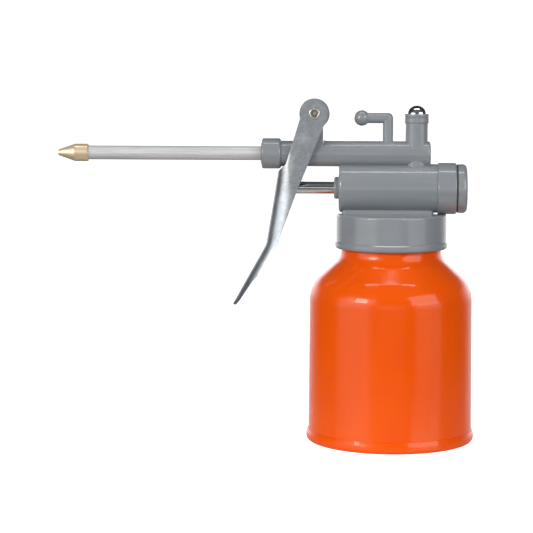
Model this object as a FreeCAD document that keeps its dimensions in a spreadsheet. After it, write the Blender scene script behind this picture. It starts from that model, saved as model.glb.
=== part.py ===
import FreeCAD, Part
import math
import os
import types

import Sketcher

# A hand oil can: a painted tin that holds about 300 ml, and a moulded pump head
# screwed on its neck. Squeezing the lever pushes a piston back in the barrel, which
# sends oil up past a ball valve in the tower and out along the spout.
# Millimetres. The origin is the centre of the base, +Z is up, the spout points to -X.

DIMENSIONS = {
    # tin
    "can_radius": 35.35,
    "can_taper": 0.4,
    "can_wall": 0.5,
    "neck_length": 14.62,
    "shoulder_slope": 41.9,
    "shoulder_round": 14.0,
    "neck_radius": 21.4,
    "neck_round": 7.8,
    "neck_rim_width": 2.0,
    "neck_rim_depth": 1.2,
    # seamed bottom
    "bead_proud": 0.9,
    "bead_width": 2.1,
    "bead_height": 5.0,
    "bead_floor": 1.2,
    "bead_foot_round": 1.8,
    "bead_top_drop": 1.6,
    "bead_top_round": 1.2,
    "bead_lip": 0.25,
    "panel_height": 3.0,
    # screw cap of the pump head
    "head_height": 98.65,
    "cap_wall": 2.0,
    "cap_rim_round": 1.0,
    "cap_band_proud": 0.5,
    "cap_band_height": 3.2,
    "cap_band_round": 1.3,
    "cap_depth": 15.1,
    "deck_thickness": 3.0,
    "neck_clearance": 0.3,
    "gasket_thickness": 1.6,
    "gasket_width": 3.2,
    "vent_radius": 0.6,
    "vent_offset": 14.0,
    # barrel, its collar and the saddle that carries it
    "barrel_rise": 10.8,
    "barrel_radius": 10.5,
    "barrel_front": 22.7,
    "barrel_front_round": 1.3,
    "barrel_wall": 2.5,
    "barrel_front_wall": 2.5,
    "gland_wall": 2.11,
    "gland_length": 2.1,
    "gland_round": 0.9,
    "collar_proud": 0.55,
    "collar_front": 19.6,
    "collar_front_round": 0.4,
    "collar_rear": 27.65,
    "collar_rear_round": 0.6,
    "collar_thread_depth": 1.3,
    "collar_bore_depth": 7.9,
    "saddle_width": 10.0,
    "saddle_front": 21.4,
    "saddle_rear": 18.0,
    "saddle_round": 2.0,
    # outlet tube
    "tube_rise": 14.7,
    "tube_radius": 5.5,
    "tube_front": 55.9,
    "tube_rear": 16.6,
    "tube_rear_round": 1.2,
    "mouth_proud": 1.05,
    "mouth_length": 8.4,
    "mouth_front_round": 0.8,
    "mouth_rear_round": 1.3,
    "spout_socket_depth": 17.9,
    # valve tower
    "tower_x": 10.5,
    "tower_radius": 4.85,
    "tower_rise": 42.8,
    "tower_band_proud": 0.37,
    "tower_band_height": 3.6,
    "tower_band_slope": 0.6,
    "tower_band_round": 0.3,
    "tower_groove_drop": 1.5,
    "tower_groove_width": 0.8,
    "tower_groove_depth": 0.22,
    "valve_port_radius": 1.5,
    "valve_ball_radius": 2.5,
    "valve_side_gap": 0.4,
    "valve_seat_gap": 0.05,
    "outlet_seat_rise": 20.2,
    "plug_radius": 4.3,
    "plug_rise": 42.0,
    # suction side under the deck
    "spigot_wall": 1.4,
    "spigot_depth": 12.0,
    "inlet_top_depth": 1.6,
    "inlet_seat_depth": 6.5,
    "inlet_seat_length": 5.0,
    "inlet_slot_overlap": 0.5,
    "inlet_slot_width": 1.4,
    "inlet_slot_length": 5.2,
    "seat_body_radius": 4.0,
    "nipple_radius": 2.4,
    "nipple_length": 6.0,
    "hose_wall": 1.0,
    "hose_end_height": 8.0,
    "strainer_radius": 4.8,
    "strainer_height": 9.0,
    "strainer_lift": 2.0,
    "strainer_floor": 1.0,
    "strainer_foot_round": 0.6,
    "strainer_slot_width": 1.2,
    "strainer_slot_height": 1.8,
    # hang hook
    "hook_x": 1.8,
    "hook_stem_radius": 2.27,
    "hook_arm_radius": 2.22,
    "hook_rise": 40.85,
    "hook_reach": 11.2,
    "hook_ball_radius": 3.35,
    # pivot boss and its pedestal
    "pivot_x": 33.2,
    "pivot_rise": 42.9,
    "boss_radius": 6.5,
    "boss_side_gap": 0.3,
    "boss_edge_round": 0.5,
    "pedestal_length": 7.4,
    "pedestal_width": 10.0,
    "pedestal_root_round": 1.4,
    "rivet_radius": 1.8,
    "rivet_running_gap": 0.05,
    # lever, measured in its own frame: pivot at the origin, web along Z
    "lever_tilt": 9.24,
    "lever_width": 15.0,
    "lever_sheet": 1.2,
    "lever_web_offset": 11.45,
    "lever_web_round": 5.0,
    "lever_web_top": 27.3,
    "lever_bend_depth": 59.2,
    "lever_bend_angle": 19.7,
    "lever_bend_round": 9.0,
    "lever_grip_length": 29.9,
    "lever_tip_half_width": 4.6,
    "lever_tip_round": 4.0,
    "ear_radius": 6.03,
    "ear_front_offset": 5.6,
    "ear_front_end_offset": 8.45,
    "ear_front_end_depth": 23.3,
    "ear_front_end_round": 1.5,
    "flank_rear_offset": 5.4,
    "flank_corner_offset": 5.68,
    "flank_corner_depth": 2.0,
    "flank_knee_offset": 2.58,
    "flank_knee_depth": 36.5,
    "flank_knee_round": 60.0,
    "flank_heel_offset": 6.9,
    "flank_heel_depth": 59.4,
    "flank_heel_round": 18.0,
    "flank_foot_reach": 13.0,
    "flank_foot_width": 3.6,
    "flank_foot_round": 12.0,
    "grip_start_reach": 17.0,
    "grip_start_width": 2.75,
    "grip_start_round": 12.0,
    "tip_slope_reach": 27.0,
    "tip_slope_width": 1.9,
    "tip_end_width": 1.3,
    # rivet ends
    "rivet_rim_width": 0.5,
    "rivet_rim_height": 0.55,
    "rivet_rim_round": 0.25,
    "rivet_hollow_wall": 0.25,
    "rivet_hollow_depth": 3.0,
    "rivet_head_overhang": 1.7,
    "rivet_head_height": 1.1,
    "rivet_head_round": 0.8,
    # plunger
    "rod_radius": 2.6,
    "rod_rest_gap": 0.22,
    "rod_tip_round": 2.3,
    "rod_running_gap": 0.05,
    "rod_shoulder": 0.7,
    "rod_end_tail": 0.8,
    "piston_rest_gap": 4.2,
    "piston_length": 8.0,
    "piston_running_gap": 0.08,
    "seal_running_gap": 0.03,
    "seal_section_radius": 1.0,
    "seal_groove_width": 2.4,
    "seal_groove_offset": 2.6,
    "nut_wall": 1.5,
    "nut_thickness": 2.4,
    "spring_wire_radius": 0.55,
    "spring_side_gap": 1.05,
    "outlet_spring_wire_radius": 0.25,
    "outlet_spring_side_gap": 0.75,
    "outlet_spring_start": 24.6,
    "outlet_spring_end": 37.9,
    # end cap
    "end_cap_inset": 0.54,
    "end_cap_rear": 32.3,
    "end_cap_round": 1.9,
    "end_cap_thread_gap": 0.1,
    "end_cap_entry": 7.5,
    "end_cap_entry_bevel": 0.6,
    "end_cap_spring_gap": 0.35,
    "end_cap_recess_floor": 2.4,
    "end_cap_slot_length": 13.4,
    "end_cap_slot_width": 1.8,
    "end_cap_slot_depth": 1.3,
    "end_seal_thickness": 0.7,
    "end_seal_inset": 0.2,
    # spout
    "spout_radius": 3.0,
    "spout_wall": 0.8,
    "mouth_seal_width": 1.65,
    "mouth_seal_length": 1.8,
    "mouth_seal_proud": 0.3,
    "mouth_seal_round": 0.25,
    "nozzle_rear_x": 131.0,
    "nozzle_front_x": 137.0,
    "nozzle_tip_x": 144.2,
    "nozzle_wall": 0.78,
    "nozzle_chamfer": 0.45,
    "nozzle_cone_round": 0.3,
    "nozzle_tip_radius": 1.23,
    "nozzle_tip_round": 0.2,
    "nozzle_hole_radius": 0.6,
    "nozzle_throat_radius": 1.2,
    "nozzle_socket_depth": 4.0,
    "nozzle_hole_length": 4.0,
}

RETURN_SPRING_TURNS = 6
OUTLET_SPRING_TURNS = 5
WIRE_SIDES = 8
WIRE_STEP = 360 / WIRE_SIDES
NUT_SIDES = 6
STRAINER_SLOTS = 3

# How far a cutting shape runs past the face that it opens, and past the lever.
OVERCUT = 1.0
TRIM_MARGIN = 4.0

SMALLEST_CHANGE = 1e-3
AXIS_LENGTH = 10.0
CLOSE = 0.01
SHEET_NAME = "sizes"


class Size:
    """A number together with the spreadsheet expression that gives it."""

    def __init__(self, number, text):
        self.number = number
        self.text = text

    def joined(self, other, sign, number):
        return Size(number, f"({self.text} {sign} {other.text})")

    def __add__(self, other):
        other = as_size(other)
        return self.joined(other, "+", self.number + other.number)

    def __sub__(self, other):
        other = as_size(other)
        return self.joined(other, "-", self.number - other.number)

    def __mul__(self, other):
        other = as_size(other)
        return self.joined(other, "*", self.number * other.number)

    def __truediv__(self, other):
        other = as_size(other)
        return self.joined(other, "/", self.number / other.number)

    def __radd__(self, other):
        return as_size(other) + self

    def __rsub__(self, other):
        return as_size(other) - self

    def __rmul__(self, other):
        return as_size(other) * self

    def __neg__(self):
        return Size(-self.number, f"(-1 * {self.text})")


def as_size(value):
    if isinstance(value, Size):
        return value
    return Size(float(value), f"({float(value):.6f})")


def sine(angle):
    angle = as_size(angle)
    return Size(math.sin(math.radians(angle.number)), f"sin({angle.text} * 1deg)")


def cosine(angle):
    angle = as_size(angle)
    return Size(math.cos(math.radians(angle.number)), f"cos({angle.text} * 1deg)")


def tangent(angle):
    angle = as_size(angle)
    return Size(math.tan(math.radians(angle.number)), f"tan({angle.text} * 1deg)")


def arctangent(value):
    return Size(math.degrees(math.atan(value.number)), f"(atan({value.text}) / 1deg)")


def root(value):
    return Size(math.sqrt(value.number), f"sqrt({value.text})")


# ---------------------------------------------------------------- document and sheet

doc = FreeCAD.newDocument("oil_can")


def make_sheet():
    """The spreadsheet of driving dimensions, and a Size for each of its aliases."""
    sheet = doc.addObject("Spreadsheet::Sheet", SHEET_NAME)
    named = {}
    for row, (alias, number) in enumerate(DIMENSIONS.items(), start=1):
        sheet.set(f"A{row}", alias.replace("_", " "))
        sheet.set(f"B{row}", str(number))
        sheet.setAlias(f"B{row}", alias)
        named[alias] = Size(number, f"{SHEET_NAME}.{alias}")
    doc.recompute()
    return types.SimpleNamespace(**named)


S = make_sheet()


# ---------------------------------------------------------------- modelling helpers

def bind(feature, prop, size):
    feature.setExpression(prop, as_size(size).text)


def new_body(label, x=0, z=0):
    """A sub-part of the assembly, placed at x and z."""
    body = doc.addObject("PartDesign::Body", label)
    body.Label = label
    bind(body, ".Placement.Base.x", x)
    bind(body, ".Placement.Base.z", z)
    doc.recompute()
    return body


def new_sketch(body, role, name, offset=None):
    """A sketch on one of the body's own origin planes, moved along its normal."""
    plane = next(item for item in body.Origin.OriginFeatures if item.Role == role)
    sketch = body.newObject("Sketcher::SketchObject", name)
    sketch.AttachmentSupport = [(plane, "")]
    sketch.MapMode = "FlatFace"
    if offset is not None:
        bind(sketch, ".AttachmentOffset.Base.z", offset)
    doc.recompute()
    return sketch


def limit(sketch, kind, element, point, size):
    """Holds one coordinate of a sketch point at a size from the origin."""
    size = as_size(size)
    if abs(size.number) < SMALLEST_CHANGE:
        axis = -2 if kind == "DistanceX" else -1
        sketch.addConstraint(Sketcher.Constraint("PointOnObject", element, point, axis))
        return
    index = sketch.addConstraint(
        Sketcher.Constraint(kind, -1, 1, element, point, size.number))
    sketch.setExpression(f"Constraints[{index}]", size.text)


def limit_radius(sketch, element, size):
    size = as_size(size)
    index = sketch.addConstraint(Sketcher.Constraint("Radius", element, size.number))
    sketch.setExpression(f"Constraints[{index}]", size.text)


def vector(corner):
    return FreeCAD.Vector(as_size(corner[0]).number, as_size(corner[1]).number, 0)


def add_outline(sketch, corners):
    """A closed outline; a corner is (x, y), or (x, y, rounding) to round it."""
    first = sketch.GeometryCount
    count = len(corners)
    for index, corner in enumerate(corners):
        following = corners[(index + 1) % count]
        sketch.addGeometry(Part.LineSegment(vector(corner), vector(following)), False)
    for index in range(count):
        following = (index + 1) % count
        sketch.addConstraint(
            Sketcher.Constraint("Coincident", first + index, 2, first + following, 1))
    for index, corner in enumerate(corners):
        limit(sketch, "DistanceX", first + index, 1, corner[0])
        limit(sketch, "DistanceY", first + index, 1, corner[1])
    for index, corner in enumerate(corners):
        if len(corner) == 3:
            round_corner(sketch, first, count, index, corners)
    doc.recompute()


def round_corner(sketch, first, count, index, corners):
    corner = vector(corners[index])
    before = vector(corners[index - 1])
    after = vector(corners[(index + 1) % count])
    rounding = as_size(corners[index][2])
    arc = sketch.GeometryCount
    sketch.fillet(first + (index - 1) % count, first + index,
                  corner + (before - corner) * 0.5, corner + (after - corner) * 0.5,
                  rounding.number, 1, True)
    limit_radius(sketch, arc, rounding)


def add_circle(sketch, x, y, radius):
    element = sketch.addGeometry(
        Part.Circle(vector((x, y)), FreeCAD.Vector(0, 0, 1), as_size(radius).number),
        False)
    limit(sketch, "DistanceX", element, 3, x)
    limit(sketch, "DistanceY", element, 3, y)
    limit_radius(sketch, element, radius)
    doc.recompute()


def add_axis(sketch, start, end):
    """A construction line that a profile of the same sketch turns about."""
    element = sketch.addGeometry(Part.LineSegment(vector(start), vector(end)), True)
    for point, place in ((1, start), (2, end)):
        limit(sketch, "DistanceX", element, point, place[0])
        limit(sketch, "DistanceY", element, point, place[1])
    doc.recompute()


def finish_feature(body, feature, grows):
    """Recomputes a feature and makes sure that it added or removed material."""
    previous = feature.BaseFeature
    before = previous.Shape.Volume if previous else 0.0
    doc.recompute()
    change = feature.Shape.Volume - before
    if (change if grows else -change) < SMALLEST_CHANGE:
        raise RuntimeError(f"{body.Label}.{feature.Name} changes nothing")
    return feature


def turn(body, name, corners, about, cut=False):
    """Turns an outline about a line of the XZ plane, adding or cutting a round shape.

    about is ("z", x) for an upright axis at x, or ("x", z) for a level one at z. The
    corners are (distance along the axis, radius) for a level axis and (radius, height)
    for an upright one.
    """
    direction, place = about
    sketch = new_sketch(body, "XZ_Plane", f"{name}_profile")
    if direction == "x":
        moved = [(corner[0], corner[1] + as_size(place), *corner[2:])
                 for corner in corners]
        axis = ((0, place), (AXIS_LENGTH, place))
    else:
        moved = [(corner[0] + as_size(place), corner[1], *corner[2:])
                 for corner in corners]
        axis = ((place, 0), (place, AXIS_LENGTH))
    add_outline(sketch, moved)
    add_axis(sketch, *axis)
    kind = "PartDesign::Groove" if cut else "PartDesign::Revolution"
    feature = body.newObject(kind, name)
    feature.Profile = (sketch, [""])
    feature.ReferenceAxis = (sketch, ["Axis0"])
    feature.Angle = 360
    return finish_feature(body, feature, not cut)


def extrude(body, sketch, name, length, cut=False, symmetric=False, reverse=False):
    kind = "PartDesign::Pocket" if cut else "PartDesign::Pad"
    feature = body.newObject(kind, name)
    feature.Profile = (sketch, [""])
    if symmetric:
        feature.SideType = "Symmetric"
    feature.Reversed = reverse
    bind(feature, "Length", length)
    return finish_feature(body, feature, not cut)


def add_ball(body, name, radius, x, z):
    feature = body.newObject("PartDesign::AdditiveSphere", name)
    bind(feature, "Radius", radius)
    bind(feature, ".Placement.Base.x", x)
    bind(feature, ".Placement.Base.z", z)
    return finish_feature(body, feature, True)


def round_edges(body, name, size, chosen):
    """Rounds the edges of the body's last feature that the test chosen picks."""
    base = body.Tip
    names = [f"Edge{index}" for index, edge in enumerate(base.Shape.Edges, start=1)
             if chosen(edge)]
    if not names:
        raise RuntimeError(f"{body.Label}.{name} finds no edge")
    feature = body.newObject("PartDesign::Fillet", name)
    feature.Base = (base, names)
    bind(feature, "Radius", size)
    doc.recompute()
    return feature


# ---------------------------------------------------------------- shared places

gasket_height = S.head_height - S.deck_thickness - S.gasket_thickness
barrel_height = S.head_height + S.barrel_rise
tube_axis_rise = S.barrel_rise + S.tube_rise
tube_height = S.head_height + tube_axis_rise
can_inner_radius = S.can_radius - S.can_wall
bead_radius = S.can_radius + S.bead_proud
bead_inner_radius = bead_radius - S.bead_width
cap_inner_radius = S.neck_radius + S.neck_clearance
cap_radius = cap_inner_radius + S.cap_wall
bore_radius = S.barrel_radius - S.barrel_wall
collar_radius = S.barrel_radius + S.collar_proud
collar_bore_radius = bore_radius + S.collar_thread_depth
end_cap_radius = collar_radius - S.end_cap_inset
spout_bore_radius = S.spout_radius - S.spout_wall
mouth_seal_radius = S.spout_radius + S.mouth_seal_width
valve_bore_radius = S.valve_ball_radius + S.valve_side_gap
hose_outer_radius = S.nipple_radius + S.hose_wall
flank_gap = S.lever_width - 2 * S.lever_sheet
boss_width = flank_gap - 2 * S.boss_side_gap
piston_front = S.barrel_front - S.barrel_front_wall - S.piston_rest_gap
rod_end_radius = S.rod_radius - S.rod_shoulder
spring_radius = bore_radius - S.spring_side_gap - S.spring_wire_radius

# A ball on a 45 degree seat touches it at this fraction of its radius.
SEAT_CONTACT = math.sqrt(0.5)


def ball_rise_above_seat():
    """Height of a valve ball's centre over the narrow end of its conical seat."""
    contact = S.valve_ball_radius * SEAT_CONTACT
    return contact - S.valve_port_radius + contact + S.valve_seat_gap


def plug_seat_rise():
    """Height over the deck where the plug ball closes the bore that it sits on."""
    return S.plug_rise - root(S.plug_radius * S.plug_radius
                              - valve_bore_radius * valve_bore_radius)


def rod_tip_offset():
    """Distance of the rod's tip in front of the head's axis, just behind the web."""
    web = (S.lever_web_offset - S.lever_sheet) / cosine(S.lever_tilt)
    lean = (S.pivot_rise - S.barrel_rise) * tangent(S.lever_tilt)
    return S.pivot_x + web + lean - S.rod_rest_gap


# ---------------------------------------------------------------- tin

def make_can_shell():
    body = new_body("can_shell")
    quarter = (90 - S.shoulder_slope) / 2
    shift = S.can_wall * tangent(quarter)
    shoulder_radius = S.can_radius - S.can_taper
    shoulder_top = gasket_height - S.neck_length
    shoulder_height = (shoulder_top
                       - (shoulder_radius - S.neck_radius) * tangent(S.shoulder_slope))
    inner_neck = S.neck_radius - S.can_wall
    rim_inner = S.neck_radius - S.neck_rim_width
    rim_underside = gasket_height - S.neck_rim_depth
    turn(body, "wall", [
        (S.can_radius, S.bead_floor),
        (S.can_radius, S.bead_height),
        (shoulder_radius, shoulder_height, S.shoulder_round),
        (S.neck_radius, shoulder_top, S.neck_round),
        (S.neck_radius, gasket_height),
        (rim_inner, gasket_height),
        (rim_inner, rim_underside),
        (inner_neck, rim_underside),
        (inner_neck, shoulder_top - shift, S.neck_round + S.can_wall),
        (shoulder_radius - S.can_wall, shoulder_height - shift,
         S.shoulder_round - S.can_wall),
        (can_inner_radius, S.bead_height),
        (can_inner_radius, S.bead_floor),
    ], ("z", 0))


def make_can_bottom():
    body = new_body("can_bottom")
    turn(body, "seam", [
        (0, S.panel_height),
        (bead_inner_radius, S.panel_height),
        (bead_inner_radius, 0),
        (bead_radius, 0, S.bead_foot_round),
        (bead_radius, S.bead_height - S.bead_top_drop, S.bead_top_round),
        (S.can_radius + S.bead_lip, S.bead_height),
        (S.can_radius, S.bead_height),
        (S.can_radius, S.bead_floor),
        (can_inner_radius, S.bead_floor),
        (can_inner_radius, S.bead_height),
        (bead_inner_radius, S.bead_height),
        (bead_inner_radius, S.panel_height + S.can_wall),
        (0, S.panel_height + S.can_wall),
    ], ("z", 0))


def make_neck_gasket():
    body = new_body("neck_gasket", z=gasket_height)
    outer = S.neck_radius
    turn(body, "ring", [
        (outer - S.gasket_width, 0),
        (outer, 0),
        (outer, S.gasket_thickness),
        (outer - S.gasket_width, S.gasket_thickness),
    ], ("z", 0))


# ---------------------------------------------------------------- pump head

def add_screw_cap(body):
    band_top = S.cap_band_height - S.cap_depth
    band_radius = cap_radius + S.cap_band_proud
    turn(body, "screw_cap", [
        (0, 0),
        (cap_radius, 0, S.cap_rim_round),
        (cap_radius, band_top),
        (band_radius, band_top - S.cap_band_proud),
        (band_radius, -S.cap_depth, S.cap_band_round),
        (cap_inner_radius, -S.cap_depth),
        (cap_inner_radius, -S.deck_thickness),
        (0, -S.deck_thickness),
    ], ("z", 0))


def add_saddle(body):
    """The foot between deck and barrel, which the suction passage runs through."""
    foot = S.deck_thickness / 2
    sketch = new_sketch(body, "XY_Plane", "saddle_plan", -foot)
    half_width = S.saddle_width / 2
    add_outline(sketch, [
        (-S.saddle_front, -half_width, S.saddle_round),
        (S.saddle_rear, -half_width, S.saddle_round),
        (S.saddle_rear, half_width, S.saddle_round),
        (-S.saddle_front, half_width, S.saddle_round),
    ])
    extrude(body, sketch, "saddle", S.barrel_rise + foot)


def add_barrel(body):
    gland_front = -S.barrel_front - S.gland_length
    gland_radius = S.rod_radius + S.rod_running_gap + S.gland_wall
    turn(body, "barrel", [
        (gland_front, 0),
        (gland_front, gland_radius, S.gland_round),
        (-S.barrel_front, gland_radius),
        (-S.barrel_front, S.barrel_radius, S.barrel_front_round),
        (S.collar_front, S.barrel_radius),
        (S.collar_front, collar_radius, S.collar_front_round),
        (S.collar_rear, collar_radius, S.collar_rear_round),
        (S.collar_rear, 0),
    ], ("x", S.barrel_rise))


def add_outlet_tube(body):
    mouth_rear = S.mouth_length - S.tube_front
    mouth_radius = S.tube_radius + S.mouth_proud
    turn(body, "outlet_tube", [
        (-S.tube_front, 0),
        (-S.tube_front, mouth_radius, S.mouth_front_round),
        (mouth_rear, mouth_radius, S.mouth_rear_round),
        (mouth_rear, S.tube_radius),
        (S.tube_rear, S.tube_radius, S.tube_rear_round),
        (S.tube_rear, 0),
    ], ("x", tube_axis_rise))


def add_tower(body):
    """The valve tower, with the double band that strengthens its mouth."""
    band_foot = S.tower_rise - S.tower_band_height
    band_radius = S.tower_radius + S.tower_band_proud
    groove = S.tower_rise - S.tower_groove_drop
    half_groove = S.tower_groove_width / 2
    turn(body, "tower", [
        (0, S.barrel_rise),
        (S.tower_radius, S.barrel_rise),
        (S.tower_radius, band_foot - S.tower_band_slope),
        (band_radius, band_foot, S.tower_band_round),
        (band_radius, groove - half_groove),
        (band_radius - S.tower_groove_depth, groove),
        (band_radius, groove + half_groove),
        (band_radius, S.tower_rise, S.tower_band_round),
        (0, S.tower_rise),
    ], ("z", S.tower_x))


def add_pivot_boss(body):
    half_length = S.pedestal_length / 2
    sketch = new_sketch(body, "XZ_Plane", "pedestal_side")
    add_outline(sketch, [
        (-S.pivot_x - half_length, tube_axis_rise),
        (-S.pivot_x + half_length, tube_axis_rise),
        (-S.pivot_x + half_length, S.pivot_rise),
        (-S.pivot_x - half_length, S.pivot_rise),
    ])
    extrude(body, sketch, "pedestal", S.pedestal_width, symmetric=True)
    round_edges(body, "pedestal_root", S.pedestal_root_round, is_pedestal_root)
    sketch = new_sketch(body, "XZ_Plane", "boss_side")
    add_circle(sketch, -S.pivot_x, S.pivot_rise, S.boss_radius)
    extrude(body, sketch, "boss", boss_width, symmetric=True)
    round_edges(body, "boss_edge", S.boss_edge_round, is_boss_rim)


def is_pedestal_root(edge):
    """The cross edges where the pedestal's front and rear faces meet the tube."""
    box = edge.BoundBox
    off_end = abs(abs(box.Center.x + S.pivot_x.number) - S.pedestal_length.number / 2)
    across = box.XLength < CLOSE and box.YLength > S.pedestal_width.number / 2
    below_top = tube_axis_rise.number + S.tube_radius.number - box.Center.z
    return off_end < CLOSE and across and 0 < below_top < S.tube_radius.number


def is_boss_rim(edge):
    """The two round outer edges of the pivot boss."""
    off_side = abs(abs(edge.BoundBox.Center.y) - boss_width.number / 2)
    return off_side < CLOSE and edge.BoundBox.YLength < CLOSE


def add_hook(body):
    """A round arm bent forward, with a ball on its end so that it holds what hangs."""
    stem_sketch = new_sketch(body, "XY_Plane", "hook_stem_plan", tube_axis_rise)
    add_circle(stem_sketch, -S.hook_x, 0, S.hook_stem_radius)
    extrude(body, stem_sketch, "hook_stem", S.hook_rise - tube_axis_rise)
    add_ball(body, "hook_corner", S.hook_stem_radius, -S.hook_x, S.hook_rise)
    arm_sketch = new_sketch(body, "YZ_Plane", "hook_arm_section", -S.hook_x)
    add_circle(arm_sketch, 0, S.hook_rise, S.hook_arm_radius)
    extrude(body, arm_sketch, "hook_arm", S.hook_reach, reverse=True)
    add_ball(body, "hook_end", S.hook_ball_radius, -S.hook_x - S.hook_reach, S.hook_rise)


def add_spigot(body):
    """The round socket under the deck that takes the suction valve seat."""
    spigot_radius = S.seat_body_radius + S.spigot_wall
    turn(body, "spigot", [
        (0, -S.deck_thickness / 2),
        (0, -S.spigot_depth),
        (spigot_radius, -S.spigot_depth),
        (spigot_radius, -S.deck_thickness / 2),
    ], ("z", S.tower_x))


def cut_barrel_bore(body):
    bore_front = S.barrel_front_wall - S.barrel_front
    gland_front = -S.barrel_front - S.gland_length
    rod_hole = S.rod_radius + S.rod_running_gap
    thread_front = S.collar_rear - S.collar_bore_depth
    turn(body, "barrel_bore", [
        (gland_front - OVERCUT, 0),
        (gland_front - OVERCUT, rod_hole),
        (bore_front, rod_hole),
        (bore_front, bore_radius),
        (thread_front, bore_radius),
        (thread_front, collar_bore_radius),
        (S.collar_rear + OVERCUT, collar_bore_radius),
        (S.collar_rear + OVERCUT, 0),
    ], ("x", S.barrel_rise), cut=True)


def cut_tube_bore(body):
    seal_rear = S.mouth_seal_length - S.mouth_seal_proud - S.tube_front
    socket_rear = S.spout_socket_depth - S.tube_front
    turn(body, "tube_bore", [
        (-S.tube_front - OVERCUT, 0),
        (-S.tube_front - OVERCUT, mouth_seal_radius),
        (seal_rear, mouth_seal_radius),
        (seal_rear, S.spout_radius),
        (socket_rear, S.spout_radius),
        (socket_rear, spout_bore_radius),
        (S.tower_x, spout_bore_radius),
        (S.tower_x, 0),
    ], ("x", tube_axis_rise), cut=True)


def cut_outlet_valve(body):
    """Port, conical seat and ball bore up the tower, open at the plug ball's seat."""
    seat_height = valve_bore_radius - S.valve_port_radius
    plug_seat = plug_seat_rise()
    turn(body, "outlet_valve_bore", [
        (0, S.barrel_rise),
        (S.valve_port_radius, S.barrel_rise),
        (S.valve_port_radius, S.outlet_seat_rise),
        (valve_bore_radius, S.outlet_seat_rise + seat_height),
        (valve_bore_radius, plug_seat),
        (S.plug_radius, plug_seat),
        (S.plug_radius, S.tower_rise + OVERCUT),
        (0, S.tower_rise + OVERCUT),
    ], ("z", S.tower_x), cut=True)


def cut_inlet_valve(body):
    """Ball chamber and seat socket from below, and a slot that a ball can't block."""
    turn(body, "inlet_valve_bore", [
        (0, -S.inlet_top_depth),
        (valve_bore_radius, -S.inlet_top_depth),
        (valve_bore_radius, -S.inlet_seat_depth),
        (S.seat_body_radius, -S.inlet_seat_depth),
        (S.seat_body_radius, -S.spigot_depth - OVERCUT),
        (0, -S.spigot_depth - OVERCUT),
    ], ("z", S.tower_x), cut=True)
    half_length = S.inlet_slot_length / 2
    half_width = S.inlet_slot_width / 2
    start = -S.inlet_top_depth - S.inlet_slot_overlap
    sketch = new_sketch(body, "XY_Plane", "inlet_slot_plan", start)
    add_outline(sketch, [
        (S.tower_x - half_length, -half_width),
        (S.tower_x + half_length, -half_width),
        (S.tower_x + half_length, half_width),
        (S.tower_x - half_length, half_width),
    ])
    extrude(body, sketch, "inlet_slot", S.barrel_rise - start, cut=True, reverse=True)


def cut_pivot_hole(body):
    sketch = new_sketch(body, "XZ_Plane", "pivot_hole_side")
    add_circle(sketch, -S.pivot_x, S.pivot_rise, S.rivet_radius + S.rivet_running_gap)
    extrude(body, sketch, "pivot_hole", boss_width + 2 * OVERCUT, cut=True,
            symmetric=True)


def cut_vent(body):
    """A pinhole behind the barrel that lets air in as the oil is drawn off."""
    sketch = new_sketch(body, "XY_Plane", "vent_plan", OVERCUT)
    add_circle(sketch, 0, S.vent_offset, S.vent_radius)
    extrude(body, sketch, "vent", S.deck_thickness + 2 * OVERCUT, cut=True)


def make_pump_head():
    body = new_body("pump_head", z=S.head_height)
    add_screw_cap(body)
    add_saddle(body)
    add_barrel(body)
    add_outlet_tube(body)
    add_pivot_boss(body)
    add_tower(body)
    add_hook(body)
    add_spigot(body)
    cut_barrel_bore(body)
    cut_tube_bore(body)
    cut_outlet_valve(body)
    cut_inlet_valve(body)
    cut_pivot_hole(body)
    cut_vent(body)


# ---------------------------------------------------------------- lever and rivet

def add_channel(body):
    """The sheet channel with its rounded web, swept down and round the grip bend."""
    half_width = S.lever_width / 2
    reach = S.flank_corner_offset + TRIM_MARGIN / 2
    inner = half_width - S.lever_sheet
    outer_round = S.lever_web_round
    inner_round = outer_round - S.lever_sheet
    inner_face = S.lever_sheet - S.lever_web_offset
    section = new_sketch(body, "XY_Plane", "channel_section")
    add_outline(section, [
        (-S.lever_web_offset, -half_width, outer_round),
        (reach, -half_width),
        (reach, -inner),
        (inner_face, -inner, inner_round),
        (inner_face, inner, inner_round),
        (reach, inner),
        (reach, half_width),
        (-S.lever_web_offset, half_width, outer_round),
    ])
    path = new_sketch(body, "XZ_Plane", "channel_path")
    add_bent_path(path)
    sweep = body.newObject("PartDesign::AdditivePipe", "channel")
    sweep.Profile = (section, [""])
    sweep.Spine = (path, [""])
    finish_feature(body, sweep, True)


def grip_point(along, inward):
    """A place in the grip, along it from the bend and inward from its outer face."""
    x = (inward * cosine(S.lever_bend_angle) - along * sine(S.lever_bend_angle)
         - S.lever_web_offset)
    z = (-S.lever_bend_depth - along * cosine(S.lever_bend_angle)
         - inward * sine(S.lever_bend_angle))
    return x, z


def add_bent_path(sketch):
    """Down the web, round the bend and down the grip, as two lines and an arc."""
    top = (-S.lever_web_offset, 0)
    bend = (-S.lever_web_offset, -S.lever_bend_depth)
    tip = grip_point(S.lever_grip_length, as_size(0))
    sketch.addGeometry(Part.LineSegment(vector(top), vector(bend)), False)
    sketch.addGeometry(Part.LineSegment(vector(bend), vector(tip)), False)
    sketch.addConstraint(Sketcher.Constraint("Coincident", 0, 2, 1, 1))
    for element, point, place in ((0, 1, top), (1, 1, bend), (1, 2, tip)):
        limit(sketch, "DistanceX", element, point, place[0])
        limit(sketch, "DistanceY", element, point, place[1])
    arc = sketch.GeometryCount
    sketch.fillet(0, 1, (vector(top) + vector(bend)) * 0.5,
                  (vector(bend) + vector(tip)) * 0.5,
                  S.lever_bend_round.number, 1, True)
    limit_radius(sketch, arc, S.lever_bend_round)
    doc.recompute()


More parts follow.
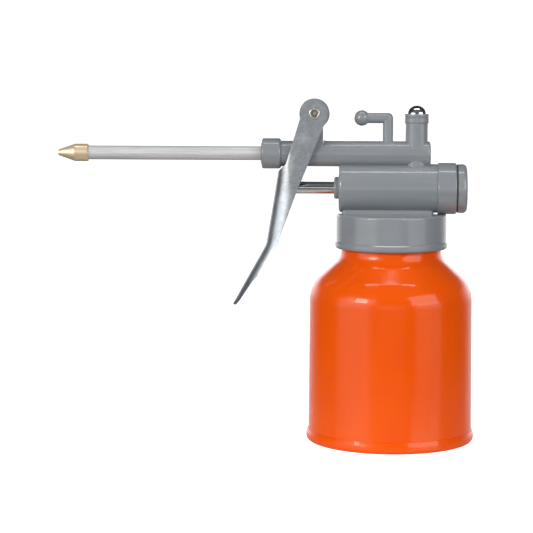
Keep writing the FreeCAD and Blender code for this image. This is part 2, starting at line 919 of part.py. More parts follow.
def trim_flanks(body):
    """Cuts away all of the channel that lies outside the lever's side outline."""
    front = -S.lever_web_offset - TRIM_MARGIN
    web_slope = ((S.lever_web_top - S.ear_front_end_depth)
                 / (S.lever_web_offset - S.ear_front_end_offset))
    web_cut_end = S.lever_web_top + web_slope * TRIM_MARGIN
    past_tip = S.lever_grip_length + TRIM_MARGIN
    outline = [
        (-S.ear_front_offset, 0),
        (S.flank_rear_offset, 0),
        (S.flank_corner_offset, -S.flank_corner_depth),
        (-S.flank_knee_offset, -S.flank_knee_depth, S.flank_knee_round),
        (-S.flank_heel_offset, -S.flank_heel_depth, S.flank_heel_round),
        (*grip_point(S.flank_foot_reach, S.flank_foot_width), S.flank_foot_round),
        (*grip_point(S.grip_start_reach, S.grip_start_width), S.grip_start_round),
        grip_point(S.tip_slope_reach, S.tip_slope_width),
        grip_point(S.lever_grip_length, S.tip_end_width),
        grip_point(past_tip, S.tip_end_width),
        grip_point(past_tip, as_size(-TRIM_MARGIN)),
        (front, -S.lever_bend_depth),
        (front, -web_cut_end),
        (-S.ear_front_end_offset, -S.ear_front_end_depth, S.ear_front_end_round),
    ]
    tip_x, tip_z = grip_point(past_tip + TRIM_MARGIN, as_size(-TRIM_MARGIN))
    frame_left = tip_x - TRIM_MARGIN
    frame_right = S.flank_corner_offset + 2 * TRIM_MARGIN
    frame_bottom = tip_z - TRIM_MARGIN
    sketch = new_sketch(body, "XZ_Plane", "side_trim")
    add_outline(sketch, [
        (frame_left, TRIM_MARGIN),
        (frame_left, frame_bottom),
        (frame_right, frame_bottom),
        (frame_right, TRIM_MARGIN),
    ])
    add_outline(sketch, outline)
    extrude(body, sketch, "side_cut", S.lever_width + 2 * OVERCUT, cut=True,
            symmetric=True)


def add_ears(body):
    """Round ears on both flanks, open between them for the boss, with a rivet hole."""
    side = new_sketch(body, "XZ_Plane", "ear_side")
    add_circle(side, 0, 0, S.ear_radius)
    extrude(body, side, "ears", S.lever_width, symmetric=True)
    inside = new_sketch(body, "XZ_Plane", "ear_gap_side")
    add_circle(inside, 0, 0, S.ear_radius + OVERCUT)
    extrude(body, inside, "ear_gap", flank_gap, cut=True, symmetric=True)
    hole = new_sketch(body, "XZ_Plane", "rivet_hole_side")
    add_circle(hole, 0, 0, S.rivet_radius)
    extrude(body, hole, "rivet_hole", S.lever_width + 2 * OVERCUT, cut=True,
            symmetric=True)


def round_tip(body):
    """Rounds the grip's end as seen from the front."""
    end = grip_point(S.lever_grip_length, as_size(0))[1]
    half_width = S.lever_tip_half_width
    outside = S.lever_width / 2 + OVERCUT
    below = end - TRIM_MARGIN
    start = end + half_width
    sketch = new_sketch(body, "YZ_Plane", "tip_front")
    add_outline(sketch, [
        (-outside, start),
        (-outside, below),
        (outside, below),
        (outside, start),
        (half_width, start),
        (half_width, end, S.lever_tip_round),
        (-half_width, end, S.lever_tip_round),
        (-half_width, start),
    ])
    reach = S.lever_web_offset + S.lever_grip_length
    extrude(body, sketch, "tip_cut", reach * 2, cut=True, symmetric=True)


def make_lever():
    body = new_body("lever", x=-S.pivot_x, z=S.head_height + S.pivot_rise)
    body.Placement.Rotation = FreeCAD.Rotation(FreeCAD.Vector(0, 1, 0), 1)
    bind(body, ".Placement.Rotation.Angle", S.lever_tilt)
    doc.recompute()
    add_channel(body)
    trim_flanks(body)
    add_ears(body)
    round_tip(body)


def make_lever_rivet():
    """A semi-tubular rivet across the pivot, in its own frame along Z, laid along Y."""
    body = new_body("lever_rivet", x=-S.pivot_x, z=S.head_height + S.pivot_rise)
    body.Placement.Rotation = FreeCAD.Rotation(FreeCAD.Vector(1, 0, 0), 90)
    half = S.lever_width / 2
    rim_end = half + S.rivet_rim_height
    rim_radius = S.rivet_radius + S.rivet_rim_width
    head_end = half + S.rivet_head_height
    head_radius = S.rivet_radius + S.rivet_head_overhang
    hollow_radius = S.rivet_radius - S.rivet_hollow_wall
    turn(body, "rivet", [
        (0, -head_end),
        (head_radius, -head_end, S.rivet_head_round),
        (head_radius, -half),
        (S.rivet_radius, -half),
        (S.rivet_radius, half),
        (rim_radius, half),
        (rim_radius, rim_end, S.rivet_rim_round),
        (hollow_radius, rim_end, S.rivet_rim_round),
        (hollow_radius, rim_end - S.rivet_hollow_depth),
        (0, rim_end - S.rivet_hollow_depth),
    ], ("z", 0))


# ---------------------------------------------------------------- plunger group

def make_plunger_rod():
    """Plated rod with a domed tip for the lever and a stepped end for the piston."""
    body = new_body("plunger_rod", z=barrel_height)
    tip = -rod_tip_offset()
    end = S.piston_length + S.nut_thickness + S.rod_end_tail - piston_front
    turn(body, "rod", [
        (tip, 0),
        (tip, S.rod_radius, S.rod_tip_round),
        (-piston_front, S.rod_radius),
        (-piston_front, rod_end_radius),
        (end, rod_end_radius),
        (end, 0),
    ], ("x", 0))


def make_piston():
    body = new_body("piston", x=-piston_front, z=barrel_height)
    outer = bore_radius - S.piston_running_gap
    seal_outer = bore_radius - S.seal_running_gap
    groove_floor = seal_outer - 2 * S.seal_section_radius
    groove_rear = S.seal_groove_offset + S.seal_groove_width
    turn(body, "piston_body", [
        (0, rod_end_radius),
        (0, outer),
        (S.seal_groove_offset, outer),
        (S.seal_groove_offset, groove_floor),
        (groove_rear, groove_floor),
        (groove_rear, outer),
        (S.piston_length, outer),
        (S.piston_length, rod_end_radius),
    ], ("x", 0))


def make_piston_seal():
    section_centre = bore_radius - S.seal_running_gap - S.seal_section_radius
    seal_x = S.seal_groove_offset + S.seal_groove_width / 2 - piston_front
    ring = doc.addObject("Part::Torus", "piston_seal")
    ring.Label = "piston_seal"
    bind(ring, "Radius1", section_centre)
    bind(ring, "Radius2", S.seal_section_radius)
    ring.Placement.Rotation = FreeCAD.Rotation(FreeCAD.Vector(0, 1, 0), 90)
    bind(ring, ".Placement.Base.x", seal_x)
    bind(ring, ".Placement.Base.z", barrel_height)


def make_piston_nut():
    body = new_body("piston_nut", x=S.piston_length - piston_front, z=barrel_height)
    sketch = new_sketch(body, "YZ_Plane", "nut_section")
    corner = (rod_end_radius + S.nut_wall) / cosine(180 / NUT_SIDES)
    corners = []
    for step in range(NUT_SIDES):
        angle = math.radians(360 / NUT_SIDES * step)
        corners.append((corner * math.cos(angle), corner * math.sin(angle)))
    add_outline(sketch, corners)
    add_circle(sketch, 0, 0, rod_end_radius)
    extrude(body, sketch, "nut", S.nut_thickness)


def wire_section(x, z, reach, turned):
    """Corners of an eight-sided wire that lie at reach from its centre."""
    corners = []
    for side in range(WIRE_SIDES):
        angle = turned + WIRE_STEP * (side + 0.5)
        corners.append((x + reach * cosine(angle), z + reach * sine(angle)))
    return corners


def half_turn(body, name, section, middle, lean):
    """Half a turn of wire about an axis that leans off the body's own at its middle."""
    sketch = new_sketch(body, "XZ_Plane", f"{name}_wire")
    add_outline(sketch, section)
    add_axis(sketch, (0, middle), (lean[0], middle + lean[1]))
    feature = body.newObject("PartDesign::Revolution", name)
    feature.Profile = (sketch, [""])
    feature.ReferenceAxis = (sketch, ["Axis0"])
    feature.Angle = 180
    finish_feature(body, feature, True)


def add_coil(body, radius, wire, turns, length):
    """A helical spring along the body's own +Z, between z = 0 and z = length.

    Each half turn climbs by half the pitch and ends level, so the next one carries on
    from it without a corner. A half turn mirrors the wire's section about its tilted
    axis, so the section that the next one starts from is turned to match. The wire has
    eight sides and the area of a round one.
    """
    reach = wire * math.sqrt(2 * math.pi / WIRE_SIDES / sine(WIRE_STEP).number)
    pitch = (length - 2 * reach) / turns
    rise = pitch / 4
    tilt = arctangent(rise / radius)
    for half in range(2 * turns):
        side = 1 - 2 * (half % 2)
        start = reach + rise * (2 * half)
        section = wire_section(radius * side, start, reach, tilt * (2 * half * side))
        half_turn(body, f"half_turn_{half + 1}", section, start + rise,
                  (rise * side, radius))


def make_return_spring():
    start = S.piston_length - piston_front
    end = S.collar_rear + S.end_seal_thickness - S.end_cap_recess_floor
    body = new_body("return_spring", x=start, z=barrel_height)
    body.Placement.Rotation = FreeCAD.Rotation(FreeCAD.Vector(0, 1, 0), 90)
    add_coil(body, spring_radius, S.spring_wire_radius, RETURN_SPRING_TURNS, end - start)


def make_cylinder_end_cap():
    flange = S.collar_rear + S.end_seal_thickness
    body = new_body("cylinder_end_cap", x=flange, z=barrel_height)
    thickness = S.end_cap_rear - flange
    thread = collar_bore_radius - S.end_cap_thread_gap
    recess = spring_radius + S.spring_wire_radius + S.end_cap_spring_gap
    turn(body, "cap_body", [
        (-S.end_cap_entry, thread - S.end_cap_entry_bevel),
        (S.end_cap_entry_bevel - S.end_cap_entry, thread),
        (0, thread),
        (0, end_cap_radius),
        (thickness, end_cap_radius, S.end_cap_round),
        (thickness, 0),
        (-S.end_cap_recess_floor, 0),
        (-S.end_cap_recess_floor, recess),
        (-S.end_cap_entry, recess),
    ], ("x", 0))
    sketch = new_sketch(body, "YZ_Plane", "coin_slot_section", thickness)
    half_width = S.end_cap_slot_width / 2
    half_length = S.end_cap_slot_length / 2
    add_outline(sketch, [
        (-half_length, -half_width),
        (half_length, -half_width),
        (half_length, half_width),
        (-half_length, half_width),
    ])
    extrude(body, sketch, "coin_slot", S.end_cap_slot_depth, cut=True)


def make_end_cap_seal():
    body = new_body("end_cap_seal", x=S.collar_rear, z=barrel_height)
    outer = end_cap_radius - S.end_seal_inset
    turn(body, "ring", [
        (0, collar_bore_radius),
        (0, outer),
        (S.end_seal_thickness, outer),
        (S.end_seal_thickness, collar_bore_radius),
    ], ("x", 0))


# ---------------------------------------------------------------- valves and suction

def make_ball(label, radius, x, z):
    ball = doc.addObject("Part::Sphere", label)
    ball.Label = label
    bind(ball, "Radius", radius)
    bind(ball, ".Placement.Base.x", x)
    bind(ball, ".Placement.Base.z", z)


def make_inlet_seat():
    body = new_body("inlet_seat", x=S.tower_x, z=S.head_height - S.inlet_seat_depth)
    cone = valve_bore_radius - S.valve_port_radius
    nipple_end = -S.inlet_seat_length - S.nipple_length
    turn(body, "seat", [
        (valve_bore_radius, 0),
        (S.seat_body_radius, 0),
        (S.seat_body_radius, -S.inlet_seat_length),
        (S.nipple_radius, -S.inlet_seat_length),
        (S.nipple_radius, nipple_end),
        (S.valve_port_radius, nipple_end),
        (S.valve_port_radius, -cone),
    ], ("z", 0))


def make_suction_tube():
    body = new_body("suction_tube", x=S.tower_x, z=S.hose_end_height)
    top = S.head_height - S.inlet_seat_depth - S.inlet_seat_length - S.hose_end_height
    turn(body, "hose", [
        (S.nipple_radius, 0),
        (hose_outer_radius, 0),
        (hose_outer_radius, top),
        (S.nipple_radius, top),
    ], ("z", 0))


def make_suction_strainer():
    foot = S.panel_height + S.can_wall + S.strainer_lift
    body = new_body("suction_strainer", x=S.tower_x, z=foot)
    hose_end = S.hose_end_height - foot
    turn(body, "cup", [
        (0, 0),
        (S.strainer_radius, 0, S.strainer_foot_round),
        (S.strainer_radius, S.strainer_height),
        (hose_outer_radius, S.strainer_height),
        (hose_outer_radius, hose_end),
        (S.nipple_radius, hose_end),
        (S.nipple_radius, S.strainer_floor),
        (0, S.strainer_floor),
    ], ("z", 0))
    sketch = new_sketch(body, "XY_Plane", "slot_plan", -OVERCUT)
    half = S.strainer_slot_width / 2
    reach = S.strainer_radius + OVERCUT
    add_outline(sketch, [(-reach, -half), (reach, -half), (reach, half), (-reach, half)])
    slot = extrude(body, sketch, "slot", S.strainer_slot_height + OVERCUT, cut=True,
                   reverse=True)
    pattern = body.newObject("PartDesign::PolarPattern", "slots")
    pattern.Originals = [slot]
    pattern.Axis = (sketch, ["N_Axis"])
    pattern.Angle = 180 * (STRAINER_SLOTS - 1) / STRAINER_SLOTS
    pattern.Occurrences = STRAINER_SLOTS
    body.Tip = pattern
    doc.recompute()


def make_outlet_spring():
    body = new_body("outlet_spring", x=S.tower_x, z=S.head_height + S.outlet_spring_start)
    radius = valve_bore_radius - S.outlet_spring_side_gap - S.outlet_spring_wire_radius
    add_coil(body, radius, S.outlet_spring_wire_radius, OUTLET_SPRING_TURNS,
             S.outlet_spring_end - S.outlet_spring_start)


def make_valve_balls():
    rise = ball_rise_above_seat()
    inlet_cone_foot = valve_bore_radius - S.valve_port_radius + S.inlet_seat_depth
    make_ball("inlet_ball", S.valve_ball_radius, S.tower_x,
              S.head_height - inlet_cone_foot + rise)
    make_ball("outlet_ball", S.valve_ball_radius, S.tower_x,
              S.head_height + S.outlet_seat_rise + rise)
    make_ball("tower_plug", S.plug_radius, S.tower_x, S.head_height + S.plug_rise)


# ---------------------------------------------------------------- spout

def make_spout_tube():
    front = S.nozzle_socket_depth + S.nozzle_rear_x
    body = new_body("spout_tube", x=-front, z=tube_height)
    length = front - S.tube_front + S.spout_socket_depth
    turn(body, "tube", [
        (0, spout_bore_radius),
        (0, S.spout_radius),
        (length, S.spout_radius),
        (length, spout_bore_radius),
    ], ("x", 0))


def make_spout_seal():
    body = new_body("spout_seal", x=-S.tube_front - S.mouth_seal_proud, z=tube_height)
    turn(body, "ring", [
        (0, S.spout_radius),
        (0, mouth_seal_radius, S.mouth_seal_round),
        (S.mouth_seal_length, mouth_seal_radius),
        (S.mouth_seal_length, S.spout_radius),
    ], ("x", 0))


def make_nozzle():
    body = new_body("nozzle", x=-S.nozzle_tip_x, z=tube_height)
    cone_rear = S.nozzle_tip_x - S.nozzle_front_x
    rear = S.nozzle_tip_x - S.nozzle_rear_x
    socket_front = rear - S.nozzle_socket_depth
    outer = S.spout_radius + S.nozzle_wall
    turn(body, "nozzle_body", [
        (0, S.nozzle_hole_radius),
        (0, S.nozzle_tip_radius, S.nozzle_tip_round),
        (cone_rear, outer, S.nozzle_cone_round),
        (rear - S.nozzle_chamfer, outer),
        (rear, outer - S.nozzle_chamfer),
        (rear, S.spout_radius),
        (socket_front, S.spout_radius),
        (socket_front, S.nozzle_throat_radius),
        (S.nozzle_hole_length, S.nozzle_throat_radius),
        (S.nozzle_hole_length, S.nozzle_hole_radius),
    ], ("x", 0))


# ---------------------------------------------------------------- build, check, write

NODES = [
    "can_shell", "can_bottom", "neck_gasket", "pump_head", "lever", "lever_rivet",
    "plunger_rod", "piston", "piston_seal", "piston_nut", "return_spring",
    "cylinder_end_cap", "end_cap_seal", "inlet_seat", "inlet_ball", "suction_tube",
    "suction_strainer", "outlet_ball", "outlet_spring", "tower_plug", "spout_tube",
    "spout_seal", "nozzle",
]


def build():
    make_can_shell()
    make_can_bottom()
    make_neck_gasket()
    make_pump_head()
    make_lever()
    make_lever_rivet()
    make_plunger_rod()
    make_piston()
    make_piston_seal()
    make_piston_nut()
    make_return_spring()
    make_cylinder_end_cap()
    make_end_cap_seal()
    make_inlet_seat()
    make_valve_balls()
    make_suction_tube()
    make_suction_strainer()
    make_outlet_spring()
    make_spout_tube()
    make_spout_seal()
    make_nozzle()
    doc.recompute()


def check(nodes):
    """Stops if any object failed, or a sub-part is missing, empty or not valid."""
    for item in doc.Objects:
        if "Invalid" in item.State or "Error" in item.State:
            raise RuntimeError(f"{item.Name} failed: {item.State}")
    for label, item in nodes.items():
        shape = item.Shape
        if shape.isNull() or not shape.isValid() or len(shape.Solids) != 1:
            raise RuntimeError(f"{label} is not one valid solid")


def write(nodes):
    os.makedirs("parts", exist_ok=True)
    for label, item in nodes.items():
        item.Shape.exportStep(os.path.join("parts", f"{label}.step"))
        box = item.Shape.BoundBox
        print(f"{label:18s} {item.Shape.Volume / 1000:9.3f} cm3  "
              f"x {box.XMin:8.2f} {box.XMax:8.2f}  y {box.YMin:7.2f} {box.YMax:7.2f}  "
              f"z {box.ZMin:7.2f} {box.ZMax:7.2f}")


build()
pieces = {label: doc.getObjectsByLabel(label)[0] for label in NODES}
check(pieces)
write(pieces)
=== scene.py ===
# %% [markdown]
# # A lever-pump oil can
# A pressed tin, a moulded pump head and a handful of metal parts make this oiler. Their
# shapes and places come from the imported model, which is loaded here as a fixed frame.
# This file gives every part its finish, and makes what the imported model only stands in
# for: the lever's opened fold, the neck's rolled thread and two coil springs. It also sets
# up the floor, the lamps and the camera.

# %% Load the imported model
import math

import bmesh
import bpy
from mathutils import Matrix, Vector


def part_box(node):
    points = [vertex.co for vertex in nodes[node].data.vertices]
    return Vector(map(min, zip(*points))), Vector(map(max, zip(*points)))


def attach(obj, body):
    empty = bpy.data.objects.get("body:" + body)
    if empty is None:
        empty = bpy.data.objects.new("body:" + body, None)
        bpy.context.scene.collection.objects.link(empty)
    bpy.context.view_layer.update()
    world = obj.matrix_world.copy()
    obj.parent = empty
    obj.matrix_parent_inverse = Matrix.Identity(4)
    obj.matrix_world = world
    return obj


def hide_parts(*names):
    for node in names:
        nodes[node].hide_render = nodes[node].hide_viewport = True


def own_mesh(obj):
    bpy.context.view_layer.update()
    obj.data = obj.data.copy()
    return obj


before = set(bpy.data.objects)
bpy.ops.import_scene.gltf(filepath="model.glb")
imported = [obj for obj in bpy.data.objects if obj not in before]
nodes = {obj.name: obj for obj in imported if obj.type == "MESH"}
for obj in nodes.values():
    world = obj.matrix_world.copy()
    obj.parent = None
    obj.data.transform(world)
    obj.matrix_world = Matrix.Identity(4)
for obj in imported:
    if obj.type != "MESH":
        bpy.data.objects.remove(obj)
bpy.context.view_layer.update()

MM = 0.001
print("parts loaded:", len(nodes))

# %% [markdown]
# ## A finish and its pattern nodes
# Real surfaces are never one flat colour: paint pools, plastic flows, metal is drawn,
# plated and handled. Each finish below is one Principled shader. What is the same all over
# is set on the shader's own sockets, and what varies is wired in from patterns that read
# the part's own place in space, so that a pattern keeps its real size on every part and
# moves with it. The small class keeps those node calls short and readable.

# %% The Finish class


def linear(red, green, blue):
    """A colour given as 0 to 255 values, as the linear numbers that shaders work in."""
    def one(value):
        share = value / 255
        return share / 12.92 if share <= 0.04045 else ((share + 0.055) / 1.055) ** 2.4
    return (one(red), one(green), one(blue), 1.0)


def add_node(tree, kind, inputs, **settings):
    """A node of this kind, with its settings and with its inputs set or linked."""
    node = tree.nodes.new(kind)
    for setting, value in settings.items():
        setattr(node, setting, value)
    for socket, value in inputs.items():
        if isinstance(value, bpy.types.NodeSocket):
            tree.links.new(value, node.inputs[socket])
        else:
            node.inputs[socket].default_value = value
    return node


class Finish:
    """One material: a Principled shader and the patterns that are wired into it."""

    def __init__(self, name, **sockets):
        self.material = bpy.data.materials.new(name)
        self.material.use_nodes = True
        self.tree = self.material.node_tree
        self.shader = self.tree.nodes["Principled BSDF"]
        for socket, value in sockets.items():
            self.shader.inputs[socket.replace("_", " ")].default_value = value

    def add(self, kind, inputs, **settings):
        """A node in this finish."""
        return add_node(self.tree, kind, inputs, **settings)

    def grain(self, size, turn=(0, 0, 0), centre=(0, 0, 0)):
        """Object coordinates in units of a grain of this size in mm, turned in degrees."""
        place = self.add("ShaderNodeTexCoord", {})
        return self.add("ShaderNodeMapping", {
            "Vector": place.outputs["Object"],
            "Location": [v * MM for v in centre],
            "Rotation": [math.radians(v) for v in turn],
            "Scale": [v * MM for v in size],
        }, vector_type="TEXTURE").outputs[0]

    def cloud(self, vector, detail=2.0, roughness=0.5, distortion=0.0):
        """Soft random values from 0 to 1, mostly near 0.5."""
        return self.add("ShaderNodeTexNoise", {
            "Vector": vector, "Scale": 1.0, "Detail": detail, "Roughness": roughness,
            "Distortion": distortion}).outputs[0]

    def cells(self, vector, output="Distance"):
        """Random cells of about one grain each."""
        return self.add("ShaderNodeTexVoronoi",
                        {"Vector": vector, "Scale": 1.0}).outputs[output]

    def rescale(self, value, low, high, to_low=0.0, to_high=1.0, smooth=False):
        """The value moved from one range to another and kept inside it."""
        return self.add("ShaderNodeMapRange", {
            "Value": value, "From Min": low, "From Max": high,
            "To Min": to_low, "To Max": to_high,
        }, interpolation_type="SMOOTHSTEP" if smooth else "LINEAR").outputs[0]

    def sums(self, operation, first, second=0.0):
        """One Math node."""
        return self.add("ShaderNodeMath", {0: first, 1: second},
                        operation=operation).outputs[0]

    def tint(self, share, first, second):
        """The first colour, going to the second as the share goes from 0 to 1."""
        return self.add("ShaderNodeMix", {0: share, 6: first, 7: second},
                        data_type="RGBA").outputs[2]

    def axes(self, centre=(0, 0, 0)):
        """How far along X, Y and Z a point is from the centre, in mm."""
        vector = self.grain((1, 1, 1), centre=centre)
        return self.add("ShaderNodeSeparateXYZ", {0: vector}).outputs

    def spot(self, centre, size, turn=(0, 0, 0)):
        """1 at a point on the part, falling smoothly to 0 at a distance of size in mm."""
        vector = self.grain(size, turn, centre)
        far = self.add("ShaderNodeVectorMath", {0: vector}, operation="LENGTH").outputs[1]
        return self.rescale(far, 0.0, 1.0, 1.0, 0.0, smooth=True)

    def wire(self, socket, value):
        """Wires a pattern into the shader."""
        self.tree.links.new(value, self.shader.inputs[socket])

    def relief(self, *layers):
        """Fine surface relief. Each layer is (height pattern, its height in mm)."""
        normal = None
        for height, depth in layers:
            inputs = {"Height": height, "Strength": 1.0, "Distance": depth * MM}
            if normal is not None:
                inputs["Normal"] = normal
            normal = self.add("ShaderNodeBump", inputs).outputs[0]
        self.wire("Normal", normal)

    def coat_parts(self, *names):
        """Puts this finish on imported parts."""
        for name in names:
            for place in nodes[name].material_slots:
                place.material = self.material
        print(self.material.name, "on", ", ".join(names))


# %% [markdown]
# ## Stoved orange enamel
# The tin is sheet steel, sprayed and stoved. Enamel is two surfaces in one: pigment that
# scatters a strong orange and a clear skin that mirrors what stands round it. So the
# colour sits under a coat. The base hardly shines by itself, and the sharp coat draws both
# the soft bands down the wall and the small bright marks on the shoulder. Sprayed enamel
# has a faint orange-peel ripple and drifts a little in tone, and tins that stand on
# benches get fine scuffs low down.

# %% Enamel on the tin
enamel = Finish("orange_enamel", Metallic=0.0, Specular_IOR_Level=0.06,
                Coat_Weight=0.65, Coat_Roughness=0.07, Coat_IOR=1.42)
pooling = enamel.cloud(enamel.grain((22, 22, 30)), detail=3)
speck = enamel.cloud(enamel.grain((0.5, 0.5, 0.5)), detail=2)
peel = enamel.cloud(enamel.grain((1.3, 1.3, 1.3)), detail=1)
scuff = enamel.cloud(enamel.grain((0.35, 0.35, 9), turn=(12, 9, 0)), detail=4,
                     roughness=0.7)
low_down = enamel.rescale(enamel.axes()["Z"], 5.5, 0.5, smooth=True)
scuffed = enamel.sums("MULTIPLY", enamel.rescale(scuff, 0.62, 0.74), low_down)
paint = enamel.tint(enamel.rescale(pooling, 0.3, 0.7), linear(238, 88, 1),
                    linear(233, 82, 1))
paint = enamel.tint(enamel.rescale(speck, 0.35, 0.75, 0.0, 0.06), paint,
                    linear(248, 112, 24))
paint = enamel.tint(enamel.sums("MULTIPLY", scuffed, 0.5), paint, linear(214, 120, 84))
enamel.wire("Base Color", paint)
dull = enamel.rescale(pooling, 0.3, 0.7, 0.34, 0.42)
enamel.wire("Roughness", enamel.sums("ADD", dull, enamel.sums("MULTIPLY", scuffed, 0.2)))
enamel.relief((peel, 0.004), (scuffed, -0.003))
enamel.coat_parts("can_shell", "can_bottom")

# %% [markdown]
# ## Moulded grey plastic
# The pump head and the barrel's end cap are injection moulded. The skin copies a spark-worn
# mould, so it has a very fine grain, and it is pressed smooth enough to mirror a lamp as a
# thin line. The plastic also shows where it flowed: faint cloudy streaks along the tubes,
# shallow sinks, and tiny pale flecks.

# %% Grey plastic on the head
plastic = Finish("grey_plastic", Metallic=0.0, Specular_IOR_Level=0.3,
                 Coat_Weight=0.9, Coat_Roughness=0.1)
flow = plastic.cloud(plastic.grain((26, 7, 7)), detail=4, distortion=0.6)
skin = plastic.cloud(plastic.grain((0.28, 0.28, 0.28)), detail=2)
sink = plastic.cloud(plastic.grain((6, 6, 6)), detail=1)
fleck = plastic.rescale(plastic.cells(plastic.grain((0.9, 0.9, 0.9))), 0.12, 0.05)
grey = plastic.tint(plastic.rescale(flow, 0.3, 0.7), linear(130, 137, 146),
                    linear(137, 143, 152))
grey = plastic.tint(plastic.rescale(skin, 0.3, 0.7, 0.0, 0.12), grey,
                    linear(152, 155, 160))
grey = plastic.tint(plastic.sums("MULTIPLY", fleck, 0.25), grey, linear(176, 180, 186))
plastic.wire("Base Color", grey)
plastic.wire("Roughness", plastic.rescale(flow, 0.3, 0.7, 0.36, 0.46))
plastic.relief((skin, 0.0016), (sink, 0.012))
plastic.coat_parts("pump_head", "cylinder_end_cap")

# %% [markdown]
# ## Zinc-plated steel
# The lever is folded from sheet and zinc plated in a barrel with hundreds of others. That
# leaves a blue-white metal with a fine mottle, tumbling scratches and some long marks from
# the rolled sheet. Three marks in its colour are painted light and shade: a painted
# highlight below the ear, a painted highlight where the fold begins to open, and painted
# shade that darkens the grip. The scratches change the tone much more than the gloss,
# because uneven gloss on bare metal breaks its highlights into black specks.

# %% Zinc on the lever
zinc = Finish("zinc_plate", Metallic=0.8)
rolled = zinc.cloud(zinc.grain((0.6, 0.6, 16), turn=(0, 22, 0)), detail=2)
mottle = zinc.cloud(zinc.grain((2.6, 2.6, 2.6)), detail=3, roughness=0.6)
crystals = zinc.cells(zinc.grain((0.9, 0.9, 0.9)), output="Color")
crystals = zinc.add("ShaderNodeSeparateXYZ", {0: crystals}).outputs["X"]
tumbled = zinc.cloud(zinc.grain((0.5, 0.5, 3.5), turn=(20, 60, 10)), detail=2)
steel = zinc.tint(zinc.rescale(mottle, 0.3, 0.7), linear(162, 168, 177),
                  linear(182, 188, 196))
steel = zinc.tint(zinc.sums("MULTIPLY", crystals, 0.12), steel, linear(138, 146, 160))
# Painted highlight: a lighter spot in the colour below the ear.
painted_highlight_below_ear = zinc.spot((-38, -8, 131), (5.5, 4, 4), turn=(0, 15, 0))
steel = zinc.tint(zinc.sums("MULTIPLY", painted_highlight_below_ear, 0.6), steel, linear(206, 211, 219))
# Painted highlight: a near-white streak in the colour where the fold begins to open.
painted_fold_highlight = zinc.spot((-45.2, -8, 114), (2.6, 4, 15), turn=(0, 17, 0))
steel = zinc.tint(zinc.sums("MULTIPLY", painted_fold_highlight, 0.7), steel, linear(250, 250, 250))
# Painted shade: the colour is darkened over the grip.
painted_grip_shade = zinc.spot((-64, 0, 66), (16, 12, 20))
steel = zinc.tint(zinc.sums("MULTIPLY", painted_grip_shade, 0.8), steel, linear(116, 124, 136))
steel = zinc.tint(zinc.rescale(tumbled, 0.45, 0.7, 0.0, 0.3), steel,
                  linear(112, 118, 128))
zinc.wire("Base Color", steel)
gloss = zinc.rescale(mottle, 0.3, 0.7, 0.3, 0.34)
scratched = zinc.rescale(tumbled, 0.3, 0.7, 0.0, 0.03)
zinc.wire("Roughness", zinc.sums("ADD", gloss, scratched))
zinc.relief((rolled, 0.0006), (tumbled, 0.0004))
zinc.coat_parts("piston_nut")

# %% [markdown]
# ## The folded lever
# The lever is one piece of sheet steel. It is blanked to a pattern, folded over a round
# former, and its two ears are pierced for the rivet. Near the ears the fold is tight, so
# that the flanks clear the outlet tube. Further down it opens into a half round, which is
# kind to the fingers and gives the soft bright band along the flank. That change of
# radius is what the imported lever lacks, so a piece with the same size, outline and sheet
# stands for it. It is made as the toolmaker would: sweep the folded channel down and
# round the bend, cut it to the side pattern, pierce it, and take off the sharp edges.
#
# All its measures are in mm from the rivet. First comes the line that the sweep follows:
# straight down the web, round the bend, and straight along the grip.

# %% The line down the lever
WEB_OFFSET = 11.45
BEND_DEPTH, BEND_ANGLE, BEND_ROUND = 59.2, math.radians(19.7), 9.0
GRIP_LENGTH = 29.9
bend_run = BEND_ROUND * math.tan(BEND_ANGLE / 2)
bend_start = BEND_DEPTH - bend_run
bend_length = BEND_ROUND * BEND_ANGLE
lever_length = bend_start + bend_length + GRIP_LENGTH - bend_run


def along_web(distance):
    """A place on the web's outer face and how far the lever has turned there."""
    if distance <= bend_start:
        return -WEB_OFFSET, -distance, 0.0
    turn = min((distance - bend_start) / BEND_ROUND, BEND_ANGLE)
    x = -WEB_OFFSET - BEND_ROUND * (1 - math.cos(turn))
    z = -bend_start - BEND_ROUND * math.sin(turn)
    rest = max(distance - bend_start - bend_length, 0.0)
    return x - rest * math.sin(turn), z - rest * math.cos(turn), turn


print("line down the lever:", round(lever_length, 1), "mm")

# %% [markdown]
# ## The folded section
# Across the lever the sheet makes a channel: a flat web, a quarter of an oval at each side
# and two straight flanks. The inner face is the same curve set in by the sheet. The oval
# grows from the tight fold to the open one as the section moves down, and the whole
# section narrows at the tip.

# %% The section at each place
SHEET = 1.2
TIGHT_FOLD, OPEN_FOLD, DEEP_FOLD = 5.0, 7.3, 9.0
FOLD_OPENS, FOLD_OPEN = 23.0, 37.0
TIP_TAPER, TIP_NARROWEST = 5.5, 0.3
FLANK_REACH = 19.0
FOLD_STEPS, FLANK_STEPS = 12, 4
half_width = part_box("lever")[1].y / MM


def half_fold(fold, deep, inset):
    """Half of the channel's section, from the web's middle out and back to the edge."""
    flat = half_width - fold
    points = [(inset, 0.0), (inset, flat / 2)]
    for step in range(FOLD_STEPS + 1):
        angle = math.radians(90 / FOLD_STEPS * step)
        points.append((deep - (deep - inset) * math.cos(angle),
                       flat + (fold - inset) * math.sin(angle)))
    points += [(deep + (FLANK_REACH - deep) * step / FLANK_STEPS, half_width - inset)
               for step in range(1, FLANK_STEPS + 1)]
    return points


